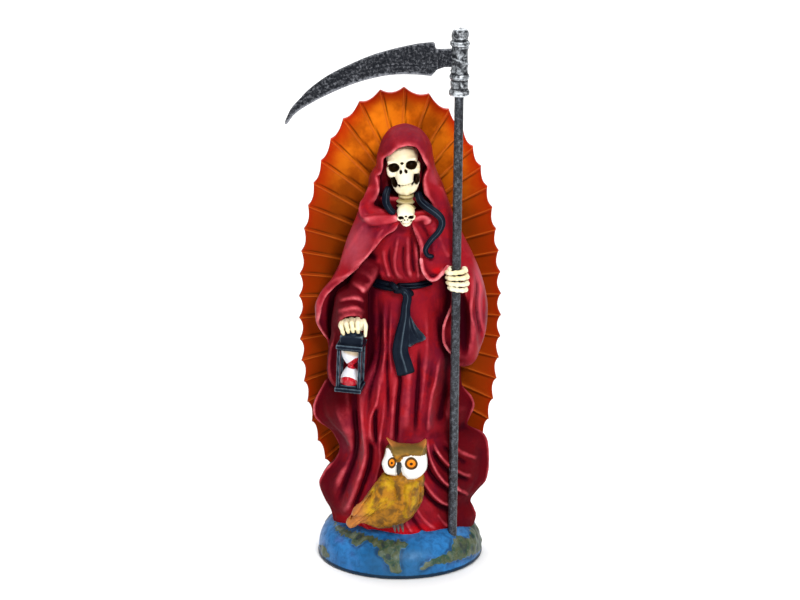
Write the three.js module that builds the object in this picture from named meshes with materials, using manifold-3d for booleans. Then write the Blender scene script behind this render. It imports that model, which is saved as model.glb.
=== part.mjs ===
// A painted resin figure of the Holy Death: a robed and hooded skeleton that stands on the crown of a
// globe, in front of an upright halo of rays. One hand lets an hourglass hang, the other grips a scythe,
// and an owl perches at the feet. Everything but the scythe is one casting. The scythe is a rod with a cast
// head on its top. Millimetres, +Z up. The figure faces -Y, and the origin is the middle of the flat
// underside.

import * as THREE from "three";
import { mergeVertices } from "three/addons/utils/BufferGeometryUtils.js";
import Module from "manifold-3d";

const wasm = await Module();
wasm.setup();

// Driving dimensions of the globe that the figure stands on.
const BASE_RADIUS = 46.5;
const BASE_HEIGHT = 25;
const BASE_ROUNDNESS = 2.6;
const LIP_RADIUS = 47;
const LIP_HEIGHT = 1.6;

// Driving dimensions of the figure and of the halo behind it.
const FIGURE_HEIGHT = 230;
const HEM_BELOW_CROWN = 5;
const HALO_HALF_WIDTH = 56.3;
const HALO_HALF_HEIGHT = 126;
const HALO_THICKNESS = 4.5;
const HALO_DISH = 9;
const HALO_ROUNDNESS = 2.2;
const RAY_COUNT = 48;
const RAY_HEIGHT = 1.6;
const SCALLOP_DEPTH = 2.6;

// Driving dimensions of the scythe, with the play that lets it lift out of the hand and the head off the
// rod, and the height of the hand above the rod's foot.
const SHAFT_RADIUS = 2.5;
const SHAFT_LENGTH = 274;
const SHAFT_PLAY = 0.35;
const FOOT_HOLE_DEPTH = 3;
const HEAD_HEIGHT = 36.5;
const HEAD_WALL = 2.5;
const HEAD_BORE_DEPTH = 20;
const HEAD_PLAY = 0.3;
const BLADE_THICKNESS = 3.4;
const GRIP_HEIGHT = 148.6;

// The carving is drawn in shares of the figure's height: one unit is a 230th of it, 1 mm at the real size.
const UNIT = FIGURE_HEIGHT / 230;
const HEM_LEVEL = BASE_HEIGHT - HEM_BELOW_CROWN;

// Shares that the shapes of cloth and bone have in common: how much of a column's width its flat back has,
// and how far the first ring of a round body keeps from its pole, in radians.
const BACK_CORNER = 0.7;
const POLE_GAP = 0.06;

// Where the scythe stands on the globe, and how far it leans to the side and forward.
const SCYTHE_FOOT = new THREE.Vector2(29.4, -23.5).multiplyScalar(UNIT);
const SCYTHE_LEAN = THREE.MathUtils.degToRad(0.5);
const SCYTHE_TILT = THREE.MathUtils.degToRad(0.6);

// Solids

function geometryOf(positions, index) {
  const geometry = new THREE.BufferGeometry();
  geometry.setAttribute("position", new THREE.Float32BufferAttribute(positions, 3));
  geometry.setIndex(index);
  return geometry;
}

function solidOf(geometry) {
  const bare = new THREE.BufferGeometry();
  const flat = geometry.index ? geometry.toNonIndexed() : geometry;
  bare.setAttribute("position", flat.getAttribute("position"));
  const merged = mergeVertices(bare, 1e-4);
  const vertProperties = new Float32Array(merged.attributes.position.array);
  const triVerts = new Uint32Array(merged.index.array);
  return new wasm.Manifold(new wasm.Mesh({ numProp: 3, vertProperties, triVerts }));
}

function geometryOfSolid(solid) {
  const mesh = solid.getMesh();
  const positions = [];
  for (let i = 0; i < mesh.numVert; i++) {
    positions.push(...mesh.vertProperties.subarray(i * mesh.numProp, i * mesh.numProp + 3));
  }
  return geometryOf(positions, Array.from(mesh.triVerts));
}

function moved(solid, matrix) {
  const geometry = geometryOfSolid(solid);
  geometry.applyMatrix4(matrix);
  return solidOf(geometry);
}

function joined(solids) {
  return solids.reduce((whole, solid) => whole.add(solid));
}

function signedVolume(positions, index) {
  const corner = (i) => new THREE.Vector3().fromArray(positions, index[i] * 3);
  let sum = 0;
  for (let i = 0; i < index.length; i += 3) {
    sum += corner(i).dot(corner(i + 1).cross(corner(i + 2)));
  }
  return sum;
}

// A closed solid through a stack of rings with equally many points, with a fan over the first and the last
// one.
function loft(rings) {
  const count = rings[0].length;
  const positions = rings.flat().flatMap((p) => [p.x, p.y, p.z]);
  const index = [];
  for (let r = 0; r + 1 < rings.length; r++) {
    for (let i = 0; i < count; i++) {
      const a = r * count + i;
      const b = r * count + ((i + 1) % count);
      index.push(a, b, b + count, a, b + count, a + count);
    }
  }
  const cap = (ring, start, turned) => {
    const middle = ring.reduce((sum, p) => sum.add(p), new THREE.Vector3()).divideScalar(count);
    const centre = positions.length / 3;
    positions.push(middle.x, middle.y, middle.z);
    for (let i = 0; i < count; i++) {
      const a = start + i;
      const b = start + ((i + 1) % count);
      index.push(...(turned ? [centre, b, a] : [centre, a, b]));
    }
  };
  cap(rings[0], 0, true);
  cap(rings.at(-1), (rings.length - 1) * count, false);
  if (signedVolume(positions, index) < 0) index.reverse();
  return solidOf(geometryOf(positions, index));
}

const power = (value, exponent) => Math.sign(value) * Math.abs(value) ** exponent;

// The smooth value at a key among [key, value] stations, by the cubic through the neighbouring ones.
function valueAt(stations, key) {
  const last = stations.length - 1;
  const k = THREE.MathUtils.clamp(key, stations[0][0], stations[last][0]);
  const i = THREE.MathUtils.clamp(stations.findIndex((station) => station[0] >= k) - 1, 0, last - 1);
  const [from, to] = [stations[i], stations[i + 1]];
  const span = to[0] - from[0];
  const t = (k - from[0]) / span;
  const rise = (a, b) => ((stations[b][1] - stations[a][1]) / (stations[b][0] - stations[a][0])) * span;
  const bend0 = rise(Math.max(0, i - 1), i + 1);
  const bend1 = rise(i, Math.min(last, i + 2));
  const start = (1 + 2 * t) * (1 - t) ** 2 * from[1] + t * (1 - t) ** 2 * bend0;
  const end = t ** 2 * (3 - 2 * t) * to[1] + t ** 2 * (t - 1) * bend1;
  return start + end;
}

// The value a share of the way through a list of evenly spaced values.
function spread(values, share) {
  const place = share * (values.length - 1);
  const i = Math.min(Math.floor(place), values.length - 2);
  return values.length === 1 ? values[0] : THREE.MathUtils.lerp(values[i], values[i + 1], place - i);
}

// How far the folds stand out at a place seen from the front. A fold [x0, z0, x1, z1, bow, width, height]
// runs between two points and bows sideways on its way; a furrow is a fold with a negative height.
function reliefAt(folds, x, z) {
  let relief = 0;
  for (const [x0, z0, x1, z1, bow, width, height] of folds) {
    const [dx, dz] = [x1 - x0, z1 - z0];
    const length = Math.hypot(dx, dz);
    const along = ((x - x0) * dx + (z - z0) * dz) / length ** 2;
    const t = THREE.MathUtils.clamp(along, 0, 1);
    const beside = ((x - x0) * dz - (z - z0) * dx) / length - 4 * bow * t * (1 - t);
    const beyond = (along - t) * length;
    relief += height * Math.exp(-((beside / width) ** 2) - (beyond / (1.5 * width)) ** 2);
  }
  return relief;
}

// A column of cloth: the front of each level is half a squared ellipse between the stations of its sides,
// widest at the depth flank, with its folds on it. Its back is flat, because it leans on the halo.
function column({ left, right, front, back, flank, levels, points, folds = [], squareness = 2.3 }) {
  const [low, high] = [left[0][0], left.at(-1)[0]];
  const rings = [];
  for (let level = 0; level <= levels; level++) {
    const z = THREE.MathUtils.lerp(low, high, level / levels);
    const [x0, x1, y0, y1] = [left, right, front, back].map((stations) => valueAt(stations, z));
    const [middle, half, depth] = [(x0 + x1) / 2, (x1 - x0) / 2, flank - y0];
    const ring = [];
    for (let i = 0; i <= points; i++) {
      const angle = (Math.PI * i) / points;
      const [c, s] = [-Math.cos(angle), Math.sin(angle)];
      const x = middle + half * power(c, 2 / squareness);
      const y = flank - depth * power(s, 2 / squareness);
      const outward = new THREE.Vector2(c / half, -s / depth).normalize();
      const push = reliefAt(folds, x, z) * Math.sqrt(Math.abs(s));
      ring.push(new THREE.Vector3(x + outward.x * push, y + outward.y * push, z).multiplyScalar(UNIT));
    }
    for (const side of [BACK_CORNER, -BACK_CORNER]) {
      ring.push(new THREE.Vector3(middle + side * half, y1, z).multiplyScalar(UNIT));
    }
    rings.push(ring);
  }
  return loft(rings);
}

const curveThrough = (points) =>
  new THREE.CatmullRomCurve3(points.map((p) => new THREE.Vector3(...p)), false, "centripetal");

// A rounded cord, limb or ribbon along points, with domed ends: its width lies across the facing direction
// and its depth along it.
function strand({ points, width, depth = width, sides, steps, facing = new THREE.Vector3(0, -1, 0) }) {
  const curve = curveThrough(points);
  const blunt = 0.25;
  const rings = [];
  for (let i = 0; i <= steps; i++) {
    const t = i / steps;
    const fromEnd = Math.min(1, blunt + (4 * Math.min(i, steps - i)) / steps);
    const dome = Math.sqrt(1 - (1 - fromEnd) ** 2);
    const along = curve.getTangent(t);
    const across = new THREE.Vector3().crossVectors(along, facing).normalize();
    const outward = new THREE.Vector3().crossVectors(across, along).normalize();
    const ring = [];
    for (let k = 0; k < sides; k++) {
      const angle = (k / sides) * 2 * Math.PI;
      const point = curve.getPoint(t);
      point.addScaledVector(across, (Math.cos(angle) * dome * spread(width, t)) / 2);
      point.addScaledVector(outward, (Math.sin(angle) * dome * spread(depth, t)) / 2);
      ring.push(point.multiplyScalar(UNIT));
    }
    rings.push(ring);
  }
  return loft(rings);
}

// A sheet of cloth that hangs between two edges, each drawn from its top to its foot, and swells to the
// front.
function drape({ inner, outer, swell, thick, along, across, folds = [] }) {
  const [innerEdge, outerEdge] = [curveThrough(inner), curveThrough(outer)];
  const foldAtHem = 0.35;
  const fullness = 0.7;
  const rings = [];
  for (let i = 0; i <= along; i++) {
    const [a, b] = [outerEdge.getPoint(i / along), innerEdge.getPoint(i / along)];
    const face = [];
    for (let k = 0; k <= across; k++) {
      const share = k / across;
      const point = a.clone().lerp(b, share);
      const fade = Math.min(1, foldAtHem + 3 * Math.min(share, 1 - share));
      point.y -= swell * Math.sin(Math.PI * share) ** fullness + fade * reliefAt(folds, point.x, point.z);
      face.push(point);
    }
    const rear = [b.clone(), a.clone()];
    for (const point of rear) point.y += thick;
    rings.push([...face, ...rear].map((point) => point.multiplyScalar(UNIT)));
  }
  return loft(rings);
}

function ball(centre, radii, turn = [0, 0, 0], detail = 8) {
  const geometry = new THREE.SphereGeometry(1, detail, Math.round(detail * 0.7));
  geometry.scale(...radii);
  geometry.applyMatrix4(new THREE.Matrix4().makeRotationFromEuler(new THREE.Euler(...turn)));
  geometry.translate(...centre);
  geometry.scale(UNIT, UNIT, UNIT);
  return solidOf(geometry);
}

// The signed distance to a lump [centre, radii], near enough for blending.
function lumpDistance([centre, radii], point) {
  const near = point.clone().sub(new THREE.Vector3(...centre)).divide(new THREE.Vector3(...radii));
  const steep = near.clone().divide(new THREE.Vector3(...radii)).length();
  return (near.length() * (near.length() - 1)) / Math.max(steep, 1e-6);
}

function smoothMinimum(a, b, blend) {
  const mix = Math.max(blend - Math.abs(a - b), 0) / blend;
  return Math.min(a, b) - (mix * mix * blend) / 4;
}

// One body blown up from its origin to the surface of lumps that flow together, less the hollows, with its
// points closer together on the front than on the back.
function blob({ lumps, hollows = [], blend, reach, around, levels }) {
  const distance = (point) => {
    const flesh = lumps.map((lump) => lumpDistance(lump, point)).reduce((a, b) => smoothMinimum(a, b, blend));
    const holes = hollows.map((lump) => -lumpDistance(lump, point));
    return holes.reduce((a, b) => -smoothMinimum(-a, -b, blend / 4), flesh);
  };
  const steps = 60;
  const halvings = 8;
  const surface = (direction) => {
    let i = steps;
    while (i > 1 && distance(direction.clone().multiplyScalar((reach * i) / steps)) > 0) i--;
    let [inside, outside] = [(reach * i) / steps, (reach * (i + 1)) / steps];
    for (let k = 0; k < halvings; k++) {
      const middle = (inside + outside) / 2;
      if (distance(direction.clone().multiplyScalar(middle)) > 0) outside = middle;
      else inside = middle;
    }
    return direction.clone().multiplyScalar(inside);
  };
  const crowding = 0.45;
  const rings = [];
  for (let level = 0; level <= levels; level++) {
    const polar = THREE.MathUtils.lerp(POLE_GAP, Math.PI - POLE_GAP, level / levels);
    const ring = [];
    for (let i = 0; i < around; i++) {
      const turn = (i / around) * 2 * Math.PI;
      const azimuth = -Math.PI / 2 + turn - crowding * Math.sin(turn);
      const flat = new THREE.Vector3(Math.cos(azimuth), Math.sin(azimuth), 0).multiplyScalar(Math.sin(polar));
      ring.push(surface(flat.setZ(Math.cos(polar))));
    }
    rings.push(ring);
  }
  return loft(rings);
}

function box(centre, size) {
  const geometry = new THREE.BoxGeometry(...size);
  geometry.translate(...centre);
  return solidOf(geometry);
}

function turned(profile, segments) {
  const geometry = new THREE.LatheGeometry(profile, segments);
  geometry.rotateX(Math.PI / 2);
  return solidOf(geometry);
}

// Globe and halo

// The height of the globe at a distance from its axis.
function domeHeight(radius) {
  return BASE_HEIGHT * (1 - (radius / BASE_RADIUS) ** BASE_ROUNDNESS) ** (1 / BASE_ROUNDNESS);
}

function globe() {
  const profile = [[0, 0], [LIP_RADIUS, 0], [LIP_RADIUS, LIP_HEIGHT]];
  const seam = (1.2 * LIP_HEIGHT) / BASE_HEIGHT;
  const lowest = BASE_RADIUS * (1 - seam ** BASE_ROUNDNESS) ** (1 / BASE_ROUNDNESS);
  const steps = 5;
  for (let i = 0; i <= steps; i++) {
    const radius = lowest * Math.cos((i / steps) * (Math.PI / 2)) ** 0.8;
    profile.push(i === steps ? [0, BASE_HEIGHT] : [radius, domeHeight(radius)]);
  }
  return turned(profile.map((p) => new THREE.Vector2(...p)), 30);
}

// A point of the halo's dished middle plane, a share of the way from its centre to its edge.
function haloPoint(angle, share) {
  return new THREE.Vector3(
    HALO_HALF_WIDTH * share * power(Math.sin(angle), 2 / HALO_ROUNDNESS),
    18 * UNIT - HALO_DISH * (share * power(Math.sin(angle), 2 / HALO_ROUNDNESS)) ** 2,
    HEM_LEVEL + 119.5 * UNIT + HALO_HALF_HEIGHT * share * power(Math.cos(angle), 2 / HALO_ROUNDNESS),
  );
}

// Angles that are evenly spaced along the halo's edge, so that all of its scallops are equally wide.
function haloAngles(count) {
  const fine = 2000;
  const reach = [0];
  for (let i = 0; i < fine; i++) {
    const [a, b] = [i, i + 1].map((k) => haloPoint((k / fine) * 2 * Math.PI, 1));
    reach.push(reach[i] + a.distanceTo(b));
  }
  const angleAt = (wanted) => (reach.findIndex((length) => length >= wanted) / fine) * 2 * Math.PI;
  return Array.from({ length: count }, (_, i) => angleAt((i / count) * reach[fine]));
}

// The halo is a dished plate: a ridge runs from each point of its edge towards the middle, with a flute and
// a scallop between every two of them.
function halo() {
  const pointsPerRay = 2;
  const angles = haloAngles(RAY_COUNT * pointsPerRay);
  const ring = (share, depth, ridge) =>
    angles.map((angle, i) => {
      const hollow = Math.sin((Math.PI * (i % pointsPerRay)) / pointsPerRay);
      const scallop = (SCALLOP_DEPTH * hollow * share ** 6) / HALO_HALF_WIDTH;
      const point = haloPoint(angle, share - scallop);
      point.y += depth - ridge * (1 - hollow);
      return point;
    });
  const half = HALO_THICKNESS / 2;
  return loft([
    ring(0.45, -half, 0),
    ring(1, -half, RAY_HEIGHT),
    ring(1, half, 0),
    ring(0.45, half, 0),
  ]);
}

// Cloth, in units from the hem up. Stations are [height, x] for the sides and [height, y] for front and back.

function mantle() {
  return column({
    left: [[-6, -36], [0, -37.5], [9, -42.6], [18, -45.4], [27, -44.2], [35, -38.2], [42, -33.6],
      [48, -33.6], [57, -43.6], [66, -47.2], [70, -47.7], [76, -46.4], [83, -41.8], [90, -39.9],
      [104, -40.2], [112, -43.2], [120, -46], [127, -46.6], [133, -45], [139, -39], [156, -32],
      [170, -26.6], [181, -22.1], [190, -18.8]],
    right: [[-6, 40], [4, 42.6], [9, 40], [18, 46.3], [27, 49], [38, 49.7], [48, 48.6], [52, 46.8],
      [57, 39], [70, 40.6], [78, 35], [95, 34], [112, 42], [127, 45], [139, 44], [156, 39], [170, 32.4],
      [190, 23.8]],
    front: [[-6, -22], [9, -21], [27, -17], [52, -15], [90, -12], [150, -12], [190, -13]],
    back: [[-6, 16], [190, 16]], flank: -3, levels: 28, points: 10,
    folds: [
      [-45, 92, -34, 46, -7, 3, 3], [-34, 48, -44, 16, 5, 3, 3], [-38, 84, -28, 46, -3, 3, -3],
      [-27, 46, -38, 6, 3, 3, -3], [44, 48, 48, 22, -3, 3, 3],
    ],
  });
}

const ROBE = {
  left: [[-6, -35], [4, -35], [14, -33], [30, -30], [60, -26], [100, -23], [134, -18], [141, -17],
    [148, -18], [164, -18], [180, -12], [190, -7]],
  right: [[-6, 38], [4, 39], [14, 38], [30, 35], [60, 30], [100, 26], [134, 21.5], [141, 20.5], [148, 21.5],
    [164, 21], [180, 17], [190, 12]],
  front: [[-6, -31], [4, -31], [14, -29], [30, -26], [60, -23], [100, -21], [134, -17.5], [141, -16.5],
    [148, -17.5], [164, -17.5], [180, -16], [190, -12]],
  back: [[-6, 12], [190, 12]],
  flank: -4,
};

function robe() {
  return column({
    ...ROBE,
    levels: 21, points: 22,
    folds: [
      [-21, 92, -29, 8, -3, 3.4, 3.6], [-9, 134, -20, 30, -2, 3, 3.2], [-2, 100, -3, 52, 0.5, 2.6, 2.2],
      [12, 134, 18, 50, -4, 3.6, 3.6], [18, 54, 42, 14, -4, 3, 3.4], [19, 50, 42, 27, -2, 2.6, 2.8],
      [12, 34, 36, 4, -3, 2.6, 2.6], [6, 24, 12, -4, 0, 2.6, 2.2], [-15, 120, -24, 50, -1, 2.4, -2.4],
      [4, 120, 8, 54, 1, 2.8, -2.6], [-10, 60, -14, 14, 0, 3, -2.6], [-8.5, 166, -10, 144, 0.5, 1.7, 1.8],
      [-3.5, 170, -4, 144, 0.5, 1.6, 1.8], [2.5, 170, 1.5, 144, 0, 1.6, 1.8],
        [8.5, 168, 7.5, 144, 0, 1.7, 1.8],
      [14, 160, 13, 144, 0, 1.7, 1.6],
    ],
  });
}

// The waist cord follows the robe's own section at the waist, let out by the cord's thickness.
function belt() {
  const bands = [[137.4, 0], [138.6, 2], [140.6, 2.6], [142.6, 2], [143.8, 0]];
  const along = (stations, sign) => bands.map(([z, out]) => [z, valueAt(stations, 140.6) + sign * out]);
  return column({
    left: along(ROBE.left, -1), right: along(ROBE.right, 1), front: along(ROBE.front, -1),
    back: [[137, 8], [144, 8]], flank: ROBE.flank, levels: 3, points: 10,
  });
}

function sash() {
  return joined([
    ball([1.2, -21, 140.5], [4, 2.6, 3.8]),
    strand({
      points: [[1, -21, 141], [5, -23, 133], [5.5, -23.4, 124], [0.5, -23.6, 110], [-1, -23.8, 99],
        [-0.6, -24, 91]],
      width: [4, 5, 5.5, 6, 7, 8], depth: [2.6], sides: 5, steps: 6,
    }),
    strand({
      points: [[4, -21, 139], [7.5, -23.6, 131], [6, -24.4, 120], [5, -24.4, 106], [5.2, -24.2, 91]],
      width: [3, 4, 4, 4.5, 5.5], depth: [2.4], sides: 5, steps: 5,
    }),
    strand({
      points: [[7, -22, 130], [10, -22.8, 120], [14.5, -22.4, 112]],
      width: [3, 4.6, 4], depth: [2.2], sides: 5, steps: 3,
    }),
  ]);
}

// The cape's two fronts: each hangs from the shoulder between its silhouette and the hem that sweeps down
// from the clasp. The left one ends above the hourglass arm, the right one runs on down behind the scythe
// hand.
function leftCape() {
  return drape({
    inner: [[3, -20, 182], [-2, -20, 175.5], [-10, -20, 166], [-18, -21, 157], [-27, -23, 147.5],
      [-37, -20, 141], [-45, -10, 135]],
    outer: [[-14, -6, 190], [-20, -4, 184], [-26, -3, 171], [-32, -2, 157], [-37.5, -2, 145],
      [-43.5, -2, 136], [-46.8, -4, 131]],
    swell: 3.4, thick: 16, along: 8, across: 4,
    folds: [[-8, 178, -30, 150, -1, 2.4, 1.6], [-18, 178, -40, 140, 2, 3, 1.8]],
  });
}

function rightCape() {
  return drape({
    inner: [[4, -20, 182], [8, -20, 174], [12, -21, 163], [15, -24, 155], [24, -26, 151], [34, -24, 147],
      [40, -20, 139], [41, -18, 127], [43.5, -15, 112]],
    outer: [[18, -6, 190], [24.5, -4, 184], [30, -3, 173], [36, -2, 164], [42.5, -3, 151], [45.8, -4, 140],
      [48.2, -4, 127], [48.2, -5, 113], [46, -8, 99]],
    swell: 3.4, thick: 16, along: 11, across: 4,
    folds: [[11, 176, 22, 158, 2, 2.6, 1.6], [24, 178, 42, 140, 2, 3, 1.6]],
  });
}

// The hood is a block of cloth with the face and the throat hollowed out of it.
function hood() {
  const cloth = column({
    left: [[168, -21], [176, -22.5], [184, -21], [194, -17.6], [208, -13.1], [219, -10.6], [225, -6.8],
      [230, 0]],
    right: [[168, 27], [176, 27.5], [184, 25.6], [194, 22.7], [208, 19], [219, 16.6], [225, 12.8],
      [230, 6]],
    front: [[168, -13], [176, -18], [184, -20], [208, -21], [219, -19.5], [225, -14], [230, -3]],
    back: [[168, 17], [212, 17], [224, 11], [230, 2]], flank: 2, levels: 11, points: 11, squareness: 2.1,
    folds: [[-11, 210, -20, 180, 2, 2, 1.6], [16, 210, 24, 180, -2, 2.4, 1.6],
      [-16, 196, -20, 184, -1, 1.6, -1.2]],
  });
  const face = ball([2.6, -20, 205], [11.6, 17, 18.4], [0, 0.06, 0], 10);
  const throat = ball([3, -21, 188], [9, 11, 9]);
  return cloth.subtract(face).subtract(throat);
}

// The rolls of cloth where the hood is thrown back over the shoulders, on either side of the clasp.
function collar() {
  const [width, depth] = [[4, 5, 6, 6, 4], [5, 6, 8, 8, 6]];
  const roll = (points) => strand({ points, width, depth, sides: 5, steps: 5 });
  return joined([
    roll([[-1, -20, 178], [-8, -19.5, 176], [-16, -17, 176.5], [-21, -12, 182], [-19, -10, 190]]),
    roll([[8, -20, 178], [14, -19.5, 175], [21, -17, 177.5], [24.5, -12, 183], [22, -10, 191]]),
  ]);
}

// The sleeve of the hourglass arm: a cuff over the wrist, and its hanging end behind the glass.
function leftSleeve() {
  return column({
    left: [[79, -32], [82, -36.6], [90, -39.3], [101, -38.2], [112, -37.2], [125, -34.6], [136, -33],
      [156, -27]],
    right: [[79, -26], [82, -20], [90, -16], [101, -15], [125, -15], [130, -14.2], [136, -12], [156, -6]],
    front: [[79, -11], [82, -15], [90, -19], [101, -20.5], [112, -22.5], [119, -26], [125, -33],
      [130, -35.5], [136, -33], [146, -25], [156, -17]],
    back: [[79, 4], [156, 4]], flank: -12, levels: 11, points: 10,
    folds: [
      [-32, 132, -14, 133, -3.5, 1.5, 1.4], [-30, 138, -12, 139, -3, 1.6, 1.4],
      [-38, 108, -38.5, 86, 1, 2, 1.8], [-17, 110, -18, 86, 0, 2, 1.6],
    ],
  });
}

// The sleeve of the scythe arm hangs open towards the front.
function rightSleeve() {
  const cloth = column({
    left: [[92.5, 34], [96, 30], [104, 26.5], [115, 24.4], [124, 26], [132, 28], [142, 27], [152, 22],
      [160, 18]],
    right: [[92.5, 41], [96, 43.5], [104, 44.5], [124, 43], [142, 42.4], [152, 41.6], [160, 38]],
    front: [[92.5, -12], [96, -16], [104, -19.5], [115, -21.5], [132, -23], [152, -24], [160, -20]],
    back: [[92.5, 6], [160, 6]], flank: -10, levels: 9, points: 10,
    folds: [[29, 134, 33, 96, -6, 1.6, 1.8], [41, 140, 42, 98, 2, 1.6, 1.8]],
  });
  const mouth = ball([35.2, -25, 122], [5.4, 9, 24], [0, -0.05, 0]);
  return cloth.subtract(mouth);
}

// Bones

// A skull of that width across the cheekbones, which looks along -Y before it is turned. Its height is
// drawn for a long face, and squat shortens it.
function skull({ centre, width, turn, squat = 1, around, levels }) {
  const sized = ([x, y, z, rx, ry, rz]) => [[x, y, z * squat], [rx, ry, rz * squat]];
  const both = ([x, ...rest]) => [[x, ...rest], [-x, ...rest]];
  const bone = blob({
    lumps: [
      [0, 0.1, 0.26, 0.49, 0.56, 0.5], [0, -0.2, 0.12, 0.42, 0.33, 0.2], [0, -0.3, -0.3, 0.23, 0.24, 0.26],
      [0, -0.28, -0.62, 0.33, 0.24, 0.13], ...both([0.36, -0.24, -0.07, 0.14, 0.17, 0.11]),
      ...both([0.33, -0.06, -0.42, 0.06, 0.13, 0.3]),
    ].map(sized),
    hollows: [
      ...both([0.225, -0.56, 0.1, 0.145, 0.2, 0.125]), [0, -0.62, -0.12, 0.075, 0.16, 0.1],
      ...both([0.34, -0.36, -0.36, 0.08, 0.2, 0.13]),
    ].map(sized),
    blend: 0.09, reach: 1.1, around, levels,
  });
  const place = new THREE.Matrix4().makeRotationFromEuler(new THREE.Euler(...turn));
  place.scale(new THREE.Vector3(1, 1, 1).multiplyScalar(width * UNIT));
  place.setPosition(new THREE.Vector3(...centre).multiplyScalar(UNIT));
  return moved(bone, place);
}

function head() {
  const vertebra = (i) => ball([3.2, -9.5, 190.6 - 3.4 * i], [4.6 + 0.2 * i, 6, 2], [0, 0, 0], 7);
  return joined([
    skull({ centre: [2.2, -7.5, 207], width: 18.6, turn: [0.05, -0.15, 0.14], around: 18, levels: 15 }),
    ...[0, 1, 2].map(vertebra),
    ball([3.2, -4, 192], [5, 6, 14], [0, 0, 0], 6),
  ]);
}

// The clasp of the cape is a small skull on the chest.
function clasp() {
  const centre = [3.3, -20.4, 181.2];
  const face = skull({ centre, width: 10.6, turn: [0, 0.05, 0], squat: 0.68, around: 12, levels: 9 });
  return face.add(ball([3.2, -16, 180.5], [3.4, 3.4, 4], [0, 0, 0], 6));
}

// The hood's cord: a turn round the neck on the left, and on the right a loose end that hangs in a bend.
function neckCord() {
  return joined([
    strand({ points: [[-9, -12, 197], [-8.6, -18.5, 190],
      [-4, -20, 183.5]], width: [3.2], sides: 5, steps: 3 }),
    strand({
      points: [[11, -13, 194], [13, -19.5, 186.5], [19, -22.5, 183.5], [23.3, -22.6, 178], [20, -23, 171],
        [14.8, -24, 164], [14, -24.4, 161], [17.3, -25, 159.3]],
      width: [3.2, 3, 2.6], sides: 5, steps: 11,
    }),
  ]);
}

// The fingers that hang over the hourglass from inside the cuff, with the thumb beside them.
function rightHand() {
  const finger = (i) => {
    const [x, z] = [-32.2 + 3.7 * i, 124.8 + 0.8 * i];
    return strand({
      points: [[x, -30, z + 3], [x + 0.3, -36.4, z - 0.5], [x + 1.3, -36.8, z - 4],
        [x + 1.9, -34.6, z - 7.4]],
      width: [2.6, 3, 2.7, 2], sides: 5, steps: 4,
    });
  };
  return joined([
    ball([-26.2, -29, 124.5], [9, 6.4, 5.6], [0, 0, 0], 6),
    ...[0, 1, 2, 3].map(finger),
    strand({
      points: [[-17.6, -28, 127], [-17.4, -33.5, 123.5], [-18.2, -34.5, 117.5]],
      width: [2.6, 1.8], sides: 5, steps: 4,
    }),
  ]);
}

// The fist about the scythe: four fingers curl round the rod from the palm, one above another. The forearm
// runs back from it to the elbow inside the sleeve.
function fist() {
  const grip = GRIP_HEIGHT / UNIT;
  const elbow = [36, -4, 138];
  const { x, y } = new THREE.Vector3(0, 0, GRIP_HEIGHT).applyMatrix4(scythePlace()).divideScalar(UNIT);
  const hold = (SHAFT_RADIUS + SHAFT_PLAY) / UNIT + 1.1;
  const reach = [
    [3, 5], [6.6, 1], [6.6, -2], [4.4, -hold], [0, -hold - 0.9], [-4.2, 0.2 - hold], [-6, -0.6], [-2.5, 5],
  ];
  const finger = (i) => {
    const z = grip + 5.2 - 3.5 * i;
    const points = reach.map(([dx, dy]) => [x + dx, y + dy, z]);
    const facing = new THREE.Vector3(0, 0, 1);
    return strand({ points, width: [3.3], depth: [3], facing, sides: 4, steps: 6 });
  };
  return joined([
    ball([x + 0.8, y + 5.4, grip], [6.4, 3.6, 7.4], [0, 0, 0], 6),
    strand({
      points: [[x + 2, y + 4, grip], [x + 5, y + 10, grip - 3], elbow],
      width: [7, 6], depth: [8, 7], sides: 6, steps: 3,
    }),
    ...[0, 1, 2, 3].map(finger),
  ]);
}

// Two bulbs in a frame of two plates and four posts, under a grip that the hand holds.
function hourglass() {
  const plate = 16.6;
  const plateThick = 2.4;
  const height = 26.5;
  const post = 2;
  const bulb = 6.4;
  const neck = 1.7;
  const inside = height / 2 - plateThick;
  const corner = (plate - post) / 2 - 0.4;
  const posts = [[-1, -1], [1, -1], [1, 1], [-1, 1]].map(([sx, sy]) =>
    box([sx * corner, sy * corner, 0], [post, post, height - plateThick]),
  );
  const steps = 6;
  const profile = [new THREE.Vector2(0, -inside - 0.5)];
  for (let i = 0; i <= steps; i++) {
    const z = THREE.MathUtils.lerp(-inside - 0.5, inside + 0.5, i / steps);
    const swell = Math.sin((Math.PI / 2) * Math.min(1, Math.abs(z / inside) * 1.25));
    profile.push(new THREE.Vector2(THREE.MathUtils.lerp(neck, bulb, swell), z));
  }
  profile.push(new THREE.Vector2(0, inside + 0.5));
  const grip = new THREE.SphereGeometry(1, 7, 5);
  grip.scale(6, 6, 7.8);
  grip.translate(0, 0, height / 2);
  const whole = joined([
    ...[-1, 1].map((side) => box([0, 0, (side * (height - plateThick)) / 2], [plate, plate, plateThick])),
    ...posts,
    turned(profile, 10),
    solidOf(grip),
  ]);
  const place = new THREE.Matrix4().makeRotationFromEuler(new THREE.Euler(0.06, 0.06, -0.32));
  place.scale(new THREE.Vector3(UNIT, UNIT, UNIT));
  place.setPosition(new THREE.Vector3(-27.2, -32.4, 99.4).multiplyScalar(UNIT));
  return moved(whole, place);
}

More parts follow.
